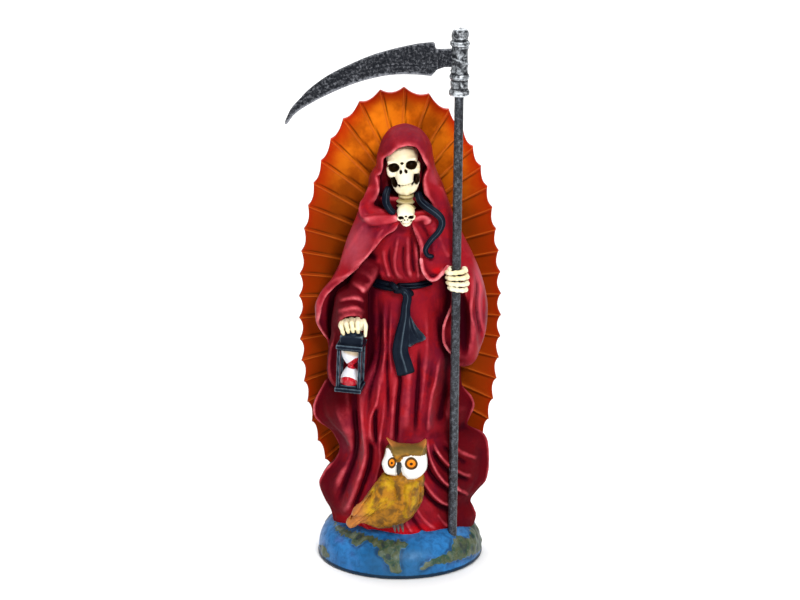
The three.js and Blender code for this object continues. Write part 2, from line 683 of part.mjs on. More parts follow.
// An owl whose wing and tail trail down to the left while its head faces the front.
function owl() {
  const y = -33.5;
  const at = (body, x, z) => {
    const place = new THREE.Matrix4().makeScale(UNIT, UNIT, UNIT);
    return moved(body, place.setPosition(new THREE.Vector3(x, y, z).multiplyScalar(UNIT)));
  };
  const body = blob({
    lumps: [
      [[4, -0.5, 0], [10.6, 9.4, 17.5]], [[-5, 1, -4], [13, 8, 10]], [[-9, -4, -2], [9, 5, 8]],
      [[11, -2, 3], [4, 7, 12]],
    ],
    blend: 3, reach: 26, around: 11, levels: 7,
  });
  const face = blob({
    lumps: [
      [[0, 0, 0], [11.6, 9, 8.6]], [[-6.2, -5.6, -2], [6.4, 4, 7.6]], [[5, -6, -2.6], [7.4, 4, 7.8]],
      [[-8.6, -1, 8], [4, 3.4, 5.4]], [[9, -1, 7.4], [4.4, 3.4, 4.8]], [[-1.2, -9, -4], [1.4, 2, 3.4]],
    ],
    hollows: [[[-6, -11.6, -1.6], [3, 2.4, 3]], [[5.4, -11.8, -2], [3.2, 2.4, 3.2]]],
    blend: 1.2, reach: 20, around: 15, levels: 11,
  });
  return joined([
    strand({
      points: [[-31, y - 1, 5.5], [-24, y, 13], [-13, y, 23], [-2, y, 31], [3, y, 38]],
      width: [5, 9, 17, 21, 17], depth: [3, 8, 15, 18, 14], sides: 6, steps: 4,
    }),
    at(body, -1, 22),
    at(face, 2, 45),
    ball([-2, y - 3, 3.5], [3.4, 5, 4.5], [0, 0, 0], 6),
    ball([5, y - 3, 3.5], [3.4, 5, 4.5], [0, 0, 0], 6),
  ]);
}

// Scythe, in its own frame: it stands up the Z axis from the floor of its hole in the globe.

function scythePlace() {
  const floor = domeHeight(SCYTHE_FOOT.length()) - FOOT_HOLE_DEPTH;
  const place = new THREE.Matrix4().makeRotationFromEuler(new THREE.Euler(SCYTHE_TILT, SCYTHE_LEAN, 0));
  return place.setPosition(SCYTHE_FOOT.x, SCYTHE_FOOT.y, floor);
}

function rod(radius, from, to, sides) {
  const geometry = new THREE.CylinderGeometry(radius, radius, to - from, sides);
  geometry.rotateX(Math.PI / 2);
  geometry.translate(0, 0, (from + to) / 2);
  return solidOf(geometry);
}

const scytheShaft = () => rod(SHAFT_RADIUS, SHAFT_PLAY, SHAFT_PLAY + SHAFT_LENGTH, 16);

// The blade, from inside the socket to the tip: a short tang, a stepped heel, then two curves that meet in
// a point.
function blade(root) {
  const at = (p) => new THREE.Vector2(...p);
  const back = new THREE.QuadraticBezierCurve(...[[-14, 13], [-68, 11], [-92.6, -33.4]].map(at));
  const edge = new THREE.QuadraticBezierCurve(...[[-14, -5.6], [-60, -2.6], [-92.2, -34.2]].map(at));
  const spans = [[[3, 9.2], [3, -1]], [[-8, 9.2], [-8, -1.4]], [[-12.4, 9.4], [-12.6, -3.6]]];
  const stations = spans.map((pair) => pair.map(at));
  const thinning = 0.75;
  const steps = 8;
  for (let i = 0; i <= steps; i++) stations.push([back.getPoint(i / steps), edge.getPoint(i / steps)]);
  const rings = stations.map(([top, bottom], i) => {
    const half = (BLADE_THICKNESS / 2) * (1 - (thinning * i) / stations.length);
    const section = [[0, 0.7], [0.25, 1], [0.75, 1], [1, 0.2]];
    const side = (sign) => section.map(([share, thick]) => {
      const p = top.clone().lerp(bottom, share).multiplyScalar(UNIT);
      return new THREE.Vector3(p.x, sign * thick * half, root + p.y);
    });
    return [...side(-1), ...side(1).reverse()];
  });
  return loft(rings);
}

// The turned socket has a double ring at its foot, a ring under its finial, and a blind bore for the rod.
function scytheHead() {
  const bore = SHAFT_RADIUS + HEAD_PLAY;
  const foot = SHAFT_PLAY + SHAFT_LENGTH - HEAD_BORE_DEPTH;
  const heightsAndWalls = [[0, 1], [0.07, 1.08], [0.11, 0.72], [0.22, 0.8], [0.25, 1.04], [0.31, 1],
    [0.34, 0.68], [0.72, 0.6], [0.75, 1], [0.8, 1], [0.83, 0.56], [0.88, 0.72], [0.94, 0.56], [0.98, 0.08]];
  const wall = heightsAndWalls.map(
    ([height, thick]) => new THREE.Vector2(bore + thick * HEAD_WALL, foot + height * HEAD_HEIGHT),
  );
  const socket = turned([new THREE.Vector2(0, foot), ...wall, new THREE.Vector2(0, foot + HEAD_HEIGHT)], 14);
  const whole = socket.add(blade(foot + 0.46 * HEAD_HEIGHT));
  return whole.subtract(rod(bore, foot - 5, foot + HEAD_BORE_DEPTH + HEAD_PLAY, 14));
}

function casting() {
  const figure = joined([
    mantle(), robe(), belt(), sash(), leftCape(), rightCape(), leftSleeve(), rightSleeve(), hood(), collar(),
    head(), clasp(), neckCord(), rightHand(), fist(), hourglass(), owl(),
  ]);
  const raised = moved(figure, new THREE.Matrix4().makeTranslation(0, 0, HEM_LEVEL));
  const way = moved(rod(SHAFT_RADIUS + SHAFT_PLAY, 0, SHAFT_LENGTH, 16), scythePlace());
  return joined([globe(), halo(), raised]).subtract(way);
}

function part(name, solid, look) {
  const geometry = geometryOfSolid(solid);
  geometry.computeVertexNormals();
  const mesh = new THREE.Mesh(geometry, new THREE.MeshStandardMaterial(look));
  mesh.name = name;
  return mesh;
}

const scythe = new THREE.Group();
scythe.applyMatrix4(scythePlace());
scythe.add(
  part("scythe_shaft", scytheShaft(), { color: 0x3a4148, roughness: 0.4, metalness: 0.5 }),
  part("scythe_head", scytheHead(), { color: 0x4a4f55, roughness: 0.38, metalness: 0.6 }),
);

const statue = new THREE.Group();
statue.name = "holy_death_figure";
statue.add(part("statue", casting(), { color: 0x8e1624, roughness: 0.42, metalness: 0 }), scythe);

export default statue;
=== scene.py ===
# The painted resin figure of the Holy Death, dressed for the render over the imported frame. Shapes are
# worked out in millimetres, with heights from the hem of the robe, and become metres when a piece is made.

import math
from types import SimpleNamespace

import bpy
import numpy as np
from mathutils import Matrix, Vector


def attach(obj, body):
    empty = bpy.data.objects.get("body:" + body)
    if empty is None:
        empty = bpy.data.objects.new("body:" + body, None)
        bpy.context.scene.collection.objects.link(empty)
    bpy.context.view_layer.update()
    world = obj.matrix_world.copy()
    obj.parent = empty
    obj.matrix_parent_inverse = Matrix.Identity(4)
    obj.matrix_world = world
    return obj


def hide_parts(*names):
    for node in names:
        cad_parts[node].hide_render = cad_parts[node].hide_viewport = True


MM = 0.001
HEM = 20.0
BASE_RADIUS = 46.5
BASE_HEIGHT = 25.0
BASE_ROUNDNESS = 2.6
GLOBE_ROUNDNESS = 3.0
HALO_HALF_WIDTH = 56.3
HALO_HALF_HEIGHT = 126.0
HALO_HALF_THICKNESS = 2.25
HALO_CENTRE = 119.5
HALO_ROUNDNESS = 2.2
HALO_BEHIND = 18
HALO_DISH = 9
RAY_COUNT = 48
WAIST = 140.6
CLOTH_ROUNDNESS = 2.3
GRIP_HEIGHT = 146.8
SHAFT_RADIUS = 2.5
SHAFT_LENGTH = 274.0
SHAFT_PLAY = 0.35
SHAFT_FOOT = (29.4, -23.5)
SHAFT_LEAN = (math.radians(0.6), math.radians(0.5), 0)
FOOT_HOLE_DEPTH = 3
HEAD_HEIGHT = 36.5
HEAD_BORE = 2.8
HEAD_BORE_DEPTH = 20
HEAD_FOOT = SHAFT_PLAY + SHAFT_LENGTH - HEAD_BORE_DEPTH


# Sampled space and its skin


class Space:
    """A box of evenly spaced sample points, as three arrays that broadcast against each other."""

    def __init__(self, low, high, cell):
        self.low = np.array(low, float)
        self.cell = cell
        counts = [int(math.ceil((b - a) / cell)) + 1 for a, b in zip(low, high)]
        axes = [a + cell * np.arange(n) for a, n in zip(low, counts)]
        self.x = axes[0].astype(np.float32)[:, None, None]
        self.y = axes[1].astype(np.float32)[None, :, None]
        self.z = axes[2].astype(np.float32)[None, None, :]


def skin(field, space):
    """The vertices and quads of the surface where the field is zero, with the inside negative."""
    field = field.copy()
    for axis in range(3):
        for side in (0, -1):
            edge = [slice(None)] * 3
            edge[axis] = side
            field[tuple(edge)] = np.maximum(field[tuple(edge)], 0.5 * space.cell)
    inside = field < 0
    shape = tuple(n - 1 for n in field.shape)
    corners = np.zeros(shape, np.uint8)
    for i in (0, 1):
        for j in (0, 1):
            for k in (0, 1):
                corners += inside[i : i + shape[0], j : j + shape[1], k : k + shape[2]]
    active = (corners > 0) & (corners < 8)
    ids = np.full(shape, -1, np.int32)
    ids[active] = np.arange(int(active.sum()))
    boxes = np.argwhere(active)
    total = np.zeros((len(boxes), 3))
    count = np.zeros(len(boxes))
    quads = []
    for axis in range(3):
        others = [a for a in range(3) if a != axis]
        before = [slice(None)] * 3
        after = [slice(None)] * 3
        before[axis] = slice(0, -1)
        after[axis] = slice(1, None)
        crossing = np.argwhere(inside[tuple(before)] != inside[tuple(after)])
        step = np.zeros(3, int)
        step[axis] = 1
        a = field[tuple(crossing.T)]
        b = field[tuple((crossing + step).T)]
        place = crossing.astype(float)
        place[:, axis] += a / (a - b)
        around = []
        for du, dv in ((0, 0), (1, 0), (1, 1), (0, 1)):
            cell = crossing.copy()
            cell[:, others[0]] -= du
            cell[:, others[1]] -= dv
            found = ids[tuple(cell.T)]
            around.append(found)
            for c in range(3):
                total[:, c] += np.bincount(found, place[:, c], len(boxes))
            count += np.bincount(found, minlength=len(boxes))
        quad = np.stack(around, 1)
        flip = (a < 0) == (axis == 1)
        quad[flip] = quad[flip][:, ::-1]
        quads.append(quad)
    points = space.low + space.cell * total / count[:, None]
    return points, np.concatenate(quads)


def cells(space, points, shape):
    """The samples of a space that lie nearest to points, as indices into a field of that shape."""
    found = ((points - space.low) / space.cell).round().astype(int)
    return tuple(np.clip(found, 0, np.array(shape) - 1).T)


def smin(a, b, blend):
    """The smaller of two fields, with the seam between them filled to a radius of about blend."""
    mix = np.maximum(blend - np.abs(a - b), 0) / blend
    return np.minimum(a, b) - mix * mix * (blend / 4)


def smax(a, b, blend):
    return -smin(-a, -b, blend)


def at(stations, key):
    """The smooth values at the keys among [key, value] stations."""
    keys = np.array([s[0] for s in stations], float)
    values = np.array([s[1] for s in stations], float)
    slopes = np.empty(len(keys))
    slopes[1:-1] = (values[2:] - values[:-2]) / (keys[2:] - keys[:-2])
    slopes[0] = (values[1] - values[0]) / (keys[1] - keys[0])
    slopes[-1] = (values[-1] - values[-2]) / (keys[-1] - keys[-2])
    k = np.clip(key, keys[0], keys[-1])
    i = np.clip(np.searchsorted(keys, k) - 1, 0, len(keys) - 2)
    span = keys[i + 1] - keys[i]
    t = (k - keys[i]) / span
    start = (1 + 2 * t) * (1 - t) ** 2 * values[i] + t * (1 - t) ** 2 * span * slopes[i]
    end = t**2 * (3 - 2 * t) * values[i + 1] + t**2 * (t - 1) * span * slopes[i + 1]
    return (start + end).astype(np.float32)


def curve(points, count):
    """Points evenly spread through a smooth line, in any number of dimensions."""
    p = np.array(points, float)
    p = np.vstack([2 * p[0] - p[1], p, 2 * p[-1] - p[-2]])
    out = []
    for t in np.linspace(0, len(points) - 1, count):
        i = min(int(t), len(points) - 2)
        u = t - i
        a, b, c, d = p[i : i + 4]
        out.append(
            0.5 * (2 * b + (c - a) * u + (2 * a - 5 * b + 4 * c - d) * u**2 + (3 * b - a - 3 * c + d) * u**3)
        )
    return np.array(out)


def bell(value, width):
    return np.exp(-((value / width) ** 2))


def spot(x, z, centre, radii, power=2):
    """A patch seen from the front, 1 at its centre and fading beyond its radii."""
    return np.exp(-(((x - centre[0]) / radii[0]) ** power) - ((z - centre[1]) / radii[1]) ** power)


# Relief on cloth, drawn as seen from the front


def nearest(line, x, z):
    """The distance of places to a line, the side they are on and the share of its length where they lie."""
    best = np.full(np.broadcast(x, z).shape, 1e9, np.float32)
    side = np.zeros_like(best)
    share = np.zeros_like(best)
    count = len(line) - 1
    for i in range(count):
        (x0, z0), (x1, z1) = line[i], line[i + 1]
        dx, dz = x1 - x0, z1 - z0
        length = math.hypot(dx, dz)
        t = np.clip(((x - x0) * dx + (z - z0) * dz) / length**2, 0, 1)
        away = np.hypot(x - x0 - t * dx, z - z0 - t * dz)
        closer = away < best
        cross = ((x - x0) * dz - (z - z0) * dx) / length
        best = np.where(closer, away, best)
        side = np.where(closer, cross, side)
        share = np.where(closer, (i + t) / count, share)
    return best, side, share


def folds(space, lines):
    """The height of folds at the places of a space. Each is (height, left width, right width, points)."""
    relief = np.zeros((space.x.size, 1, space.z.size), np.float32)
    for height, left, right, points in lines:
        xs = [p[0] for p in points]
        zs = [p[1] for p in points]
        reach = 3 * max(left, right)
        ix = np.nonzero((space.x[:, 0, 0] > min(xs) - reach) & (space.x[:, 0, 0] < max(xs) + reach))[0]
        iz = np.nonzero((space.z[0, 0] > min(zs) - reach) & (space.z[0, 0] < max(zs) + reach))[0]
        if not len(ix) or not len(iz):
            continue
        x = space.x[ix[0] : ix[-1] + 1]
        z = space.z[:, :, iz[0] : iz[-1] + 1]
        away, side, share = nearest(curve(points, 26), x, z)
        width = np.where(side < 0, left, right)
        taper = np.clip(np.minimum(share, 1 - share) / 0.22, 0, 1)
        taper = taper * taper * (3 - 2 * taper)
        crest = np.exp(-((away / width) ** 1.7))
        relief[ix[0] : ix[-1] + 1, :, iz[0] : iz[-1] + 1] += height * taper * crest
    return relief


def enclosed(line, x, z):
    """The distance of places to a closed line, negative inside it."""
    away, _, _ = nearest(line, x, z)
    inside = np.zeros(np.broadcast(x, z).shape, bool)
    for (x0, z0), (x1, z1) in zip(line[:-1], line[1:]):
        if z1 != z0:
            inside ^= ((z0 > z) != (z1 > z)) & (x < (x1 - x0) * (z - z0) / (z1 - z0) + x0)
    return np.where(inside, -away, away)


def region(space, outline, detail=90):
    """The distance to a smooth closed outline seen from the front, negative inside it."""
    return enclosed(curve([*outline, outline[0]], detail), space.x, space.z)


def column(space, left, right, front, flank, relief, power=CLOTH_ROUNDNESS):
    """The distance to a column of cloth between the stations of its sides, half a squared ellipse deep.

    Behind the flank its sides draw in and its heights sink, as cloth does that is gathered against a plate.
    """
    behind = np.maximum(space.y - flank, 0)
    level = space.z + 0.27 * behind
    x0 = at(left, level)
    x1 = at(right, level)
    middle = (x0 + x1) / 2
    half = (x1 - x0) / 2 * (1 - 0.1 * (behind / 18) ** 2)
    depth = flank - at(front, space.z)
    across = np.abs(space.x - middle) / half
    forward = np.maximum(flank - space.y - relief, 0) / depth
    a = across**power + forward**power
    r = np.maximum(a, 1e-6) ** (1 / power)
    steep = np.sqrt(across ** (2 * power - 2) / half**2 + forward ** (2 * power - 2) / depth**2)
    return ((r - 1) / np.maximum(steep * r ** (1 - power), 1e-4)).astype(np.float32)


def pillow(space, outline, middle, depth, reach):
    """A cushioned shape with that outline from the front, depth thick to each side and rounded over reach."""
    away = region(space, outline, 110)
    edge = np.maximum(reach + away, 0) / reach
    across = np.abs(space.y - middle) / depth
    size = np.sqrt(edge**2 + across**2)
    steep = np.sqrt((edge / reach) ** 2 + (across / depth) ** 2)
    return (size * (size - 1) / np.maximum(steep, 1e-4)).astype(np.float32)


def lump(space, centre, radii, turn=(0, 0, 0)):
    """The distance to an ellipsoid, near enough for blending."""
    p = [space.x - centre[0], space.y - centre[1], space.z - centre[2]]
    if any(turn):
        m = rotation(turn).T
        p = [m[i][0] * p[0] + m[i][1] * p[1] + m[i][2] * p[2] for i in range(3)]
    near = sum((q / r) ** 2 for q, r in zip(p, radii))
    steep = np.sqrt(sum((q / r**2) ** 2 for q, r in zip(p, radii)))
    size = np.sqrt(near)
    return (size * (size - 1) / np.maximum(steep, 1e-5)).astype(np.float32)


def rotation(turn):
    turns = [Matrix.Rotation(angle, 3, axis) for angle, axis in zip(turn, "XYZ")]
    return np.array(turns[0] @ turns[1] @ turns[2])


class Local:
    """The same sample points in a frame of their own: moved, turned and scaled."""

    def __init__(self, space, centre, turn, scale=1.0):
        m = rotation(turn).T / scale
        p = [space.x - centre[0], space.y - centre[1], space.z - centre[2]]
        self.x, self.y, self.z = (
            (m[i][0] * p[0] + m[i][1] * p[1] + m[i][2] * p[2]).astype(np.float32) for i in range(3)
        )


def block(space, centre, size, rounding):
    """The distance to a box with rounded edges."""
    q = [np.abs(a - c) - s / 2 + rounding for a, c, s in zip((space.x, space.y, space.z), centre, size)]
    outside = np.sqrt(sum(np.maximum(a, 0) ** 2 for a in q))
    inside = np.minimum(np.maximum(np.maximum(q[0], q[1]), q[2]), 0)
    return (outside + inside - rounding).astype(np.float32)


def chain(space, points, radii, count=8):
    """The distance to a limb through points, whose radius runs through the radii."""
    line = curve(points, count + 1)
    sizes = np.interp(np.linspace(0, 1, count + 1), np.linspace(0, 1, len(radii)), radii)
    parts = [capsule(space, line[i], line[i + 1], sizes[i], sizes[i + 1]) for i in range(count)]
    return np.minimum.reduce(parts)


def fused(fields, blend):
    whole = fields[0]
    for field in fields[1:]:
        whole = smin(whole, field, blend)
    return whole


def capsule(space, a, b, ra, rb):
    """The distance to a limb between two points whose radius goes from ra to rb."""
    a, b = np.array(a, float), np.array(b, float)
    d = b - a
    p = [space.x - a[0], space.y - a[1], space.z - a[2]]
    t = np.clip((p[0] * d[0] + p[1] * d[1] + p[2] * d[2]) / d.dot(d), 0, 1)
    away = np.sqrt(sum((q - t * e) ** 2 for q, e in zip(p, d)))
    return (away - (ra + (rb - ra) * t)).astype(np.float32)


# Meshes


def neighbours(faces):
    edges = np.concatenate([faces[:, [i, (i + 1) % faces.shape[1]]] for i in range(faces.shape[1])])
    return np.concatenate([edges, edges[:, ::-1]])


def eased(values, faces, rounds):
    """Values at the vertices after rounds of averaging with their neighbours."""
    links = neighbours(faces)
    count = np.maximum(np.bincount(links[:, 0], minlength=len(values)), 1)
    out = values.astype(float).reshape(len(values), -1).copy()
    for _ in range(rounds):
        for c in range(out.shape[1]):
            mean = np.bincount(links[:, 0], out[links[:, 1], c], len(out)) / count
            out[:, c] = 0.5 * out[:, c] + 0.5 * mean
    return out.reshape(values.shape)


def normals(points, faces):
    a, b, c = points[faces[:, 0]], points[faces[:, 1]], points[faces[:, 2]]
    n = np.cross(b - a, c - a)
    if faces.shape[1] == 4:
        d = points[faces[:, 3]]
        n = np.cross(c - a, d - b)
    out = np.zeros_like(points)
    for i in range(faces.shape[1]):
        for k in range(3):
            out[:, k] += np.bincount(faces[:, i], n[:, k], len(points))
    return out / np.maximum(np.linalg.norm(out, axis=1), 1e-9)[:, None]


def ridges(points, faces, reach, cell):
    """How far each vertex stands out of its surroundings, in mm, at a scale of about reach."""
    rounds = max(2, int(2 * (reach / cell) ** 2))
    return ((points - eased(points, faces, rounds)) * normals(points, faces)).sum(axis=1)


def piece(name, points, faces, material, node="statue", slot="painted_resin", lift=HEM, **values):
    """A finished piece of the figure, from points in mm and faces of three or four corners."""
    mesh = bpy.data.meshes.new(name)
    place = (np.array(points, float) + [0, 0, lift]) * MM
    faces = np.array(faces, np.int32)
    sides = faces.shape[1]
    mesh.vertices.add(len(place))
    mesh.vertices.foreach_set("co", place.astype(np.float32).ravel())
    mesh.loops.add(faces.size)
    mesh.loops.foreach_set("vertex_index", faces.ravel())
    mesh.polygons.add(len(faces))
    mesh.polygons.foreach_set("loop_start", np.arange(0, faces.size, sides, dtype=np.int32))
    mesh.update(calc_edges=True)
    mesh.validate()
    mesh.polygons.foreach_set("use_smooth", np.ones(len(mesh.polygons), bool))
    for key, value in values.items():
        layer = mesh.attributes.new(key, "FLOAT", "POINT")
        layer.data.foreach_set("value", np.asarray(value, np.float32))
    mesh.materials.append(material)
    obj = bpy.data.objects.new(name, mesh)
    bpy.context.scene.collection.objects.link(obj)
    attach(obj, "root")
    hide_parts(node)


def modelled(name, field, space, material, reach=0.8):
    """A piece from a field, with its ridges measured for the paint."""
    points, faces = skin(field, space)
    points = eased(points, faces, 1)
    piece(name, points, faces, material, ridge=ridges(points, faces, reach, space.cell))


def banded(rows, sides):
    """The quads between rings of vertices, each ring closed and with that many sides."""
    first = np.arange(rows - 1)[:, None] * sides
    a = (first + np.arange(sides)).ravel()
    b = (first + (np.arange(sides) + 1) % sides).ravel()
    return np.stack([a, b, b + sides, a + sides], 1)


def swept(points, width, depth, steps, sides, facing=(0, -1, 0), groove=0.0):
    """A cord, strap or limb along points: vertices and quads, with domed ends and a groove in front."""
    line = curve(points, steps + 1)
    tangent = np.gradient(line, axis=0)
    tangent /= np.linalg.norm(tangent, axis=1)[:, None]
    across = np.cross(tangent, np.array(facing, float))
    across /= np.linalg.norm(across, axis=1)[:, None]
    outward = np.cross(across, tangent)
    share = np.linspace(0, 1, steps + 1)
    wide = np.interp(share, np.linspace(0, 1, len(width)), width) / 2
    deep = np.interp(share, np.linspace(0, 1, len(depth)), depth) / 2
    length = np.linalg.norm(np.diff(line, axis=0), axis=1).sum()
    from_end = np.minimum(share, 1 - share) * length
    radius = np.maximum(deep, 0.3)
    dome = np.sqrt(np.clip(1 - (1 - np.clip(from_end / radius, 0, 1)) ** 2, 0.0004, 1))
    rings = []
    for angle in np.linspace(0, 2 * np.pi, sides, endpoint=False):
        c, s = math.cos(angle), math.sin(angle)
        furrows = bell(c + 0.1, 0.22) + 0.5 * bell(c - 0.55, 0.16)
        lift = s * (1 - groove * (s > 0) * furrows)
        rings.append(line + across * (c * wide * dome)[:, None] + outward * (lift * deep * dome)[:, None])
    return np.stack(rings, 1).reshape(-1, 3), banded(steps + 1, sides)


def merged(parts):
    """Several (vertices, quads) as one."""
    vertices, quads, start = [], [], 0
    for v, q in parts:
        vertices.append(v)
        quads.append(q + start)
        start += len(v)
    return np.concatenate(vertices), np.concatenate(quads)


def turned(profile, sides):
    """A solid of revolution about Z through (radius, height) points, closed at its ends on the axis."""
    angles = np.linspace(0, 2 * np.pi, sides, endpoint=False)
    vertices = [(r * math.cos(a), r * math.sin(a), z) for r, z in profile for a in angles]
    return np.array(vertices), banded(len(profile), sides)


# Materials


class Nodes:
    """The node tree of one material, with short ways to add what the paints need."""

    def __init__(self, name):
        self.material = bpy.data.materials.new(name)
        self.material.use_nodes = True
        self.tree = self.material.node_tree
        self.shader = self.tree.nodes["Principled BSDF"]
        self.place = self.add("ShaderNodeTexCoord").outputs["Object"]

    def add(self, kind, **settings):
        node = self.tree.nodes.new(kind)
        for key, value in settings.items():
            setattr(node, key, value)
        return node

    def link(self, source, socket):
        self.tree.links.new(source, socket)

    def noise(self, scale, detail=3.0, roughness=0.55, distortion=0.0):
        node = self.add("ShaderNodeTexNoise")
        settings = {"Scale": scale, "Detail": detail, "Roughness": roughness, "Distortion": distortion}
        for key, number in settings.items():
            node.inputs[key].default_value = number
        self.link(self.place, node.inputs["Vector"])
        return node.outputs["Fac"]

    def feed(self, source, socket):
        """Fills a socket from a number, a colour, a named measure of the mesh or another node."""
        if isinstance(source, (int, float)):
            socket.default_value = source
        elif isinstance(source, tuple):
            socket.default_value = (*source, 1)
        elif isinstance(source, str):
            self.link(self.add("ShaderNodeAttribute", attribute_name=source).outputs["Fac"], socket)
        else:
            self.link(source, socket)

    def ramp(self, source, low, high, bottom=0.0, top=1.0):
        node = self.add("ShaderNodeMapRange", interpolation_type="SMOOTHSTEP")
        self.feed(source, node.inputs["Value"])
        for key, number in zip(("From Min", "From Max", "To Min", "To Max"), (low, high, bottom, top)):
            node.inputs[key].default_value = number
        return node.outputs["Result"]

    def maths(self, operation, a, b):
        node = self.add("ShaderNodeMath", operation=operation)
        self.feed(a, node.inputs[0])
        self.feed(b, node.inputs[1])
        return node.outputs["Value"]

    def loose(self, source, noise, amount):
        """A measure made uneven by noise, up to half the amount each way."""
        return self.maths("ADD", source, self.maths("MULTIPLY", self.maths("SUBTRACT", noise, 0.5), amount))

    def mix(self, share, a, b):
        node = self.add("ShaderNodeMix", data_type="RGBA")
        self.link(share, node.inputs["Factor"])
        under, over = [socket for socket in node.inputs if socket.type == "RGBA"]
        self.feed(a, under)
        self.feed(b, over)
        return [socket for socket in node.outputs if socket.type == "RGBA"][0]

    def coats(self, colour, *layers):
        """A colour under coats of paint, each (measure, where it starts, where it ends, how full, paint)."""
        for source, low, high, share, paint in layers:
            colour = self.mix(self.ramp(source, low, high, 0, share), colour, paint)
        return colour

    def bump(self, height, distance):
        node = self.add("ShaderNodeBump")
        node.inputs["Distance"].default_value = distance
        self.link(height, node.inputs["Height"])
        self.link(node.outputs["Normal"], self.shader.inputs["Normal"])

    def finish(self, colour, roughness, metallic=0.0, sheen=(1, 1, 1), specular=0.5):
        self.link(colour, self.shader.inputs["Base Color"])
        self.link(roughness, self.shader.inputs["Roughness"])
        self.shader.inputs["Metallic"].default_value = metallic
        self.shader.inputs["Specular Tint"].default_value = (*sheen, 1)
        self.shader.inputs["Specular IOR Level"].default_value = specular
        return self.material


def painted(name, base, shade, wash_and_shade, rub_and_highlight, depth, height, gloss, sheen, specular=0.5):
    """Paint over resin: a clouded base, dark washes with painted shade from depth mm down and in the hollows,
    painted shadow where marked, and dry rubbing with painted highlights from height mm up.
    """
    n = Nodes(name)
    streak = n.noise(420, 4, 0.6, 0.6)
    broken = n.loose("ridge", streak, 0.5 * height)
    colour = n.coats(
        base,
        (n.noise(60, 4, 0.6), 0.35, 0.68, 1, shade),
        # painted shade with dark washes in the creases and the hollows
        (broken, -0.1 * depth, -depth, 0.9, wash_and_shade),
        ("hollow", 0.53, 0.72, 0.97, wash_and_shade),
        # dry rubbing on what stands out, partly painted highlights
        (broken, 0.25 * height, 1.6 * height, 0.75, rub_and_highlight),
        # painted shadow where the piece marks it
        ("stain", 0.15, 0.85, 1, wash_and_shade),
    )
    n.bump(n.noise(900, 3, 0.6), 0.00004)
    return n.finish(colour, n.ramp(streak, 0.3, 0.7, *gloss), 0.0, sheen, specular)


def crimson():
    """Satin crimson paint: painted shade and dark washes, near black, in the hollows and creases, and a pink
    dry brush with painted highlights on the folds.
    """
    n = Nodes("crimson_cloth")
    patch = n.noise(130, 3, 0.6)
    streak = n.noise(420, 4, 0.6, 0.6)
    broken = n.loose("ridge", streak, 0.22)
    painted_shading = n.loose("shade", patch, 0.5)
    colour = n.coats(
        (0.27, 0.008, 0.014),
        (n.noise(48, 4, 0.6, 0.3), 0.36, 0.66, 1, (0.15, 0.006, 0.019)),
        (patch, 0.52, 0.72, 0.6, (0.36, 0.007, 0.008)),
        ("fresh", 0.2, 0.9, 0.8, (0.45, 0.004, 0.008)),
        # painted shade where the shade measure is positive, and painted highlight, pale coral, where it is
        # negative
        (painted_shading, 0.1, 1.0, 0.85, (0.060, 0.0008, 0.003)),
        (painted_shading, -0.1, -0.9, 0.7, (0.42, 0.075, 0.105)),
        # painted shade with dark washes, near black, in the creases and the hollows
        (broken, -0.04, -0.5, 0.9, (0.030, 0.0004, 0.004)),
        (n.loose("hollow", streak, 0.055), 0.51, 0.68, 0.96, (0.026, 0.0003, 0.0035)),
    )
    # pale and then pink dry brushing on the crests, which also stands for painted highlights
    worn = n.maths("MULTIPLY", n.ramp(broken, 0.10, 0.50, 0, 0.75), n.ramp(patch, 0.35, 0.60, 0.55, 1.0))
    dry_brush_and_highlight = n.maths("MULTIPLY", n.ramp(broken, 0.36, 0.85, 0, 0.8), n.ramp(patch, 0.40, 0.62, 0.2, 1.0))
    colour = n.mix(worn, colour, (0.54, 0.060, 0.080))
    colour = n.mix(dry_brush_and_highlight, colour, (0.93, 0.34, 0.36))
    n.bump(n.noise(900, 3, 0.6), 0.00004)
    dull = n.maths("ADD", n.ramp(streak, 0.3, 0.7, 0.32, 0.46), n.ramp(painted_shading, 0.1, 0.7, 0, 0.46))
    return n.finish(colour, dull, 0.0, (1, 0.16, 0.20), 0.13)


CRIMSON = crimson()
# each paint below has a base, a clouded tone, dark washes that also stand for painted shade, and dry rubbing
# that also stands for painted highlights
BONE = painted(
    "ivory_bone", (0.86, 0.80, 0.60), (0.78, 0.66, 0.38), (0.012, 0.005, 0.001), (0.93, 0.90, 0.78),
    depth=0.4, height=0.3, gloss=(0.35, 0.55), sheen=(1, 0.95, 0.8), specular=0.14,
)
NECK = painted(
    "olive_bone", (0.60, 0.50, 0.24), (0.42, 0.32, 0.12), (0.05, 0.024, 0.004), (0.90, 0.84, 0.62),
    depth=0.3, height=0.24, gloss=(0.35, 0.55), sheen=(1, 0.9, 0.7),
)
SLATE = painted(
    "slate_cord", (0.002, 0.003, 0.009), (0.006, 0.009, 0.017), (0.0005, 0.0005, 0.001), (0.12, 0.17, 0.21),
    depth=0.25, height=0.12, gloss=(0.28, 0.42), sheen=(0.6, 0.8, 1), specular=0.11,
)


# Globe


def dome_height(radius):
    return BASE_HEIGHT * (1 - (radius / BASE_RADIUS) ** BASE_ROUNDNESS) ** (1 / BASE_ROUNDNESS)


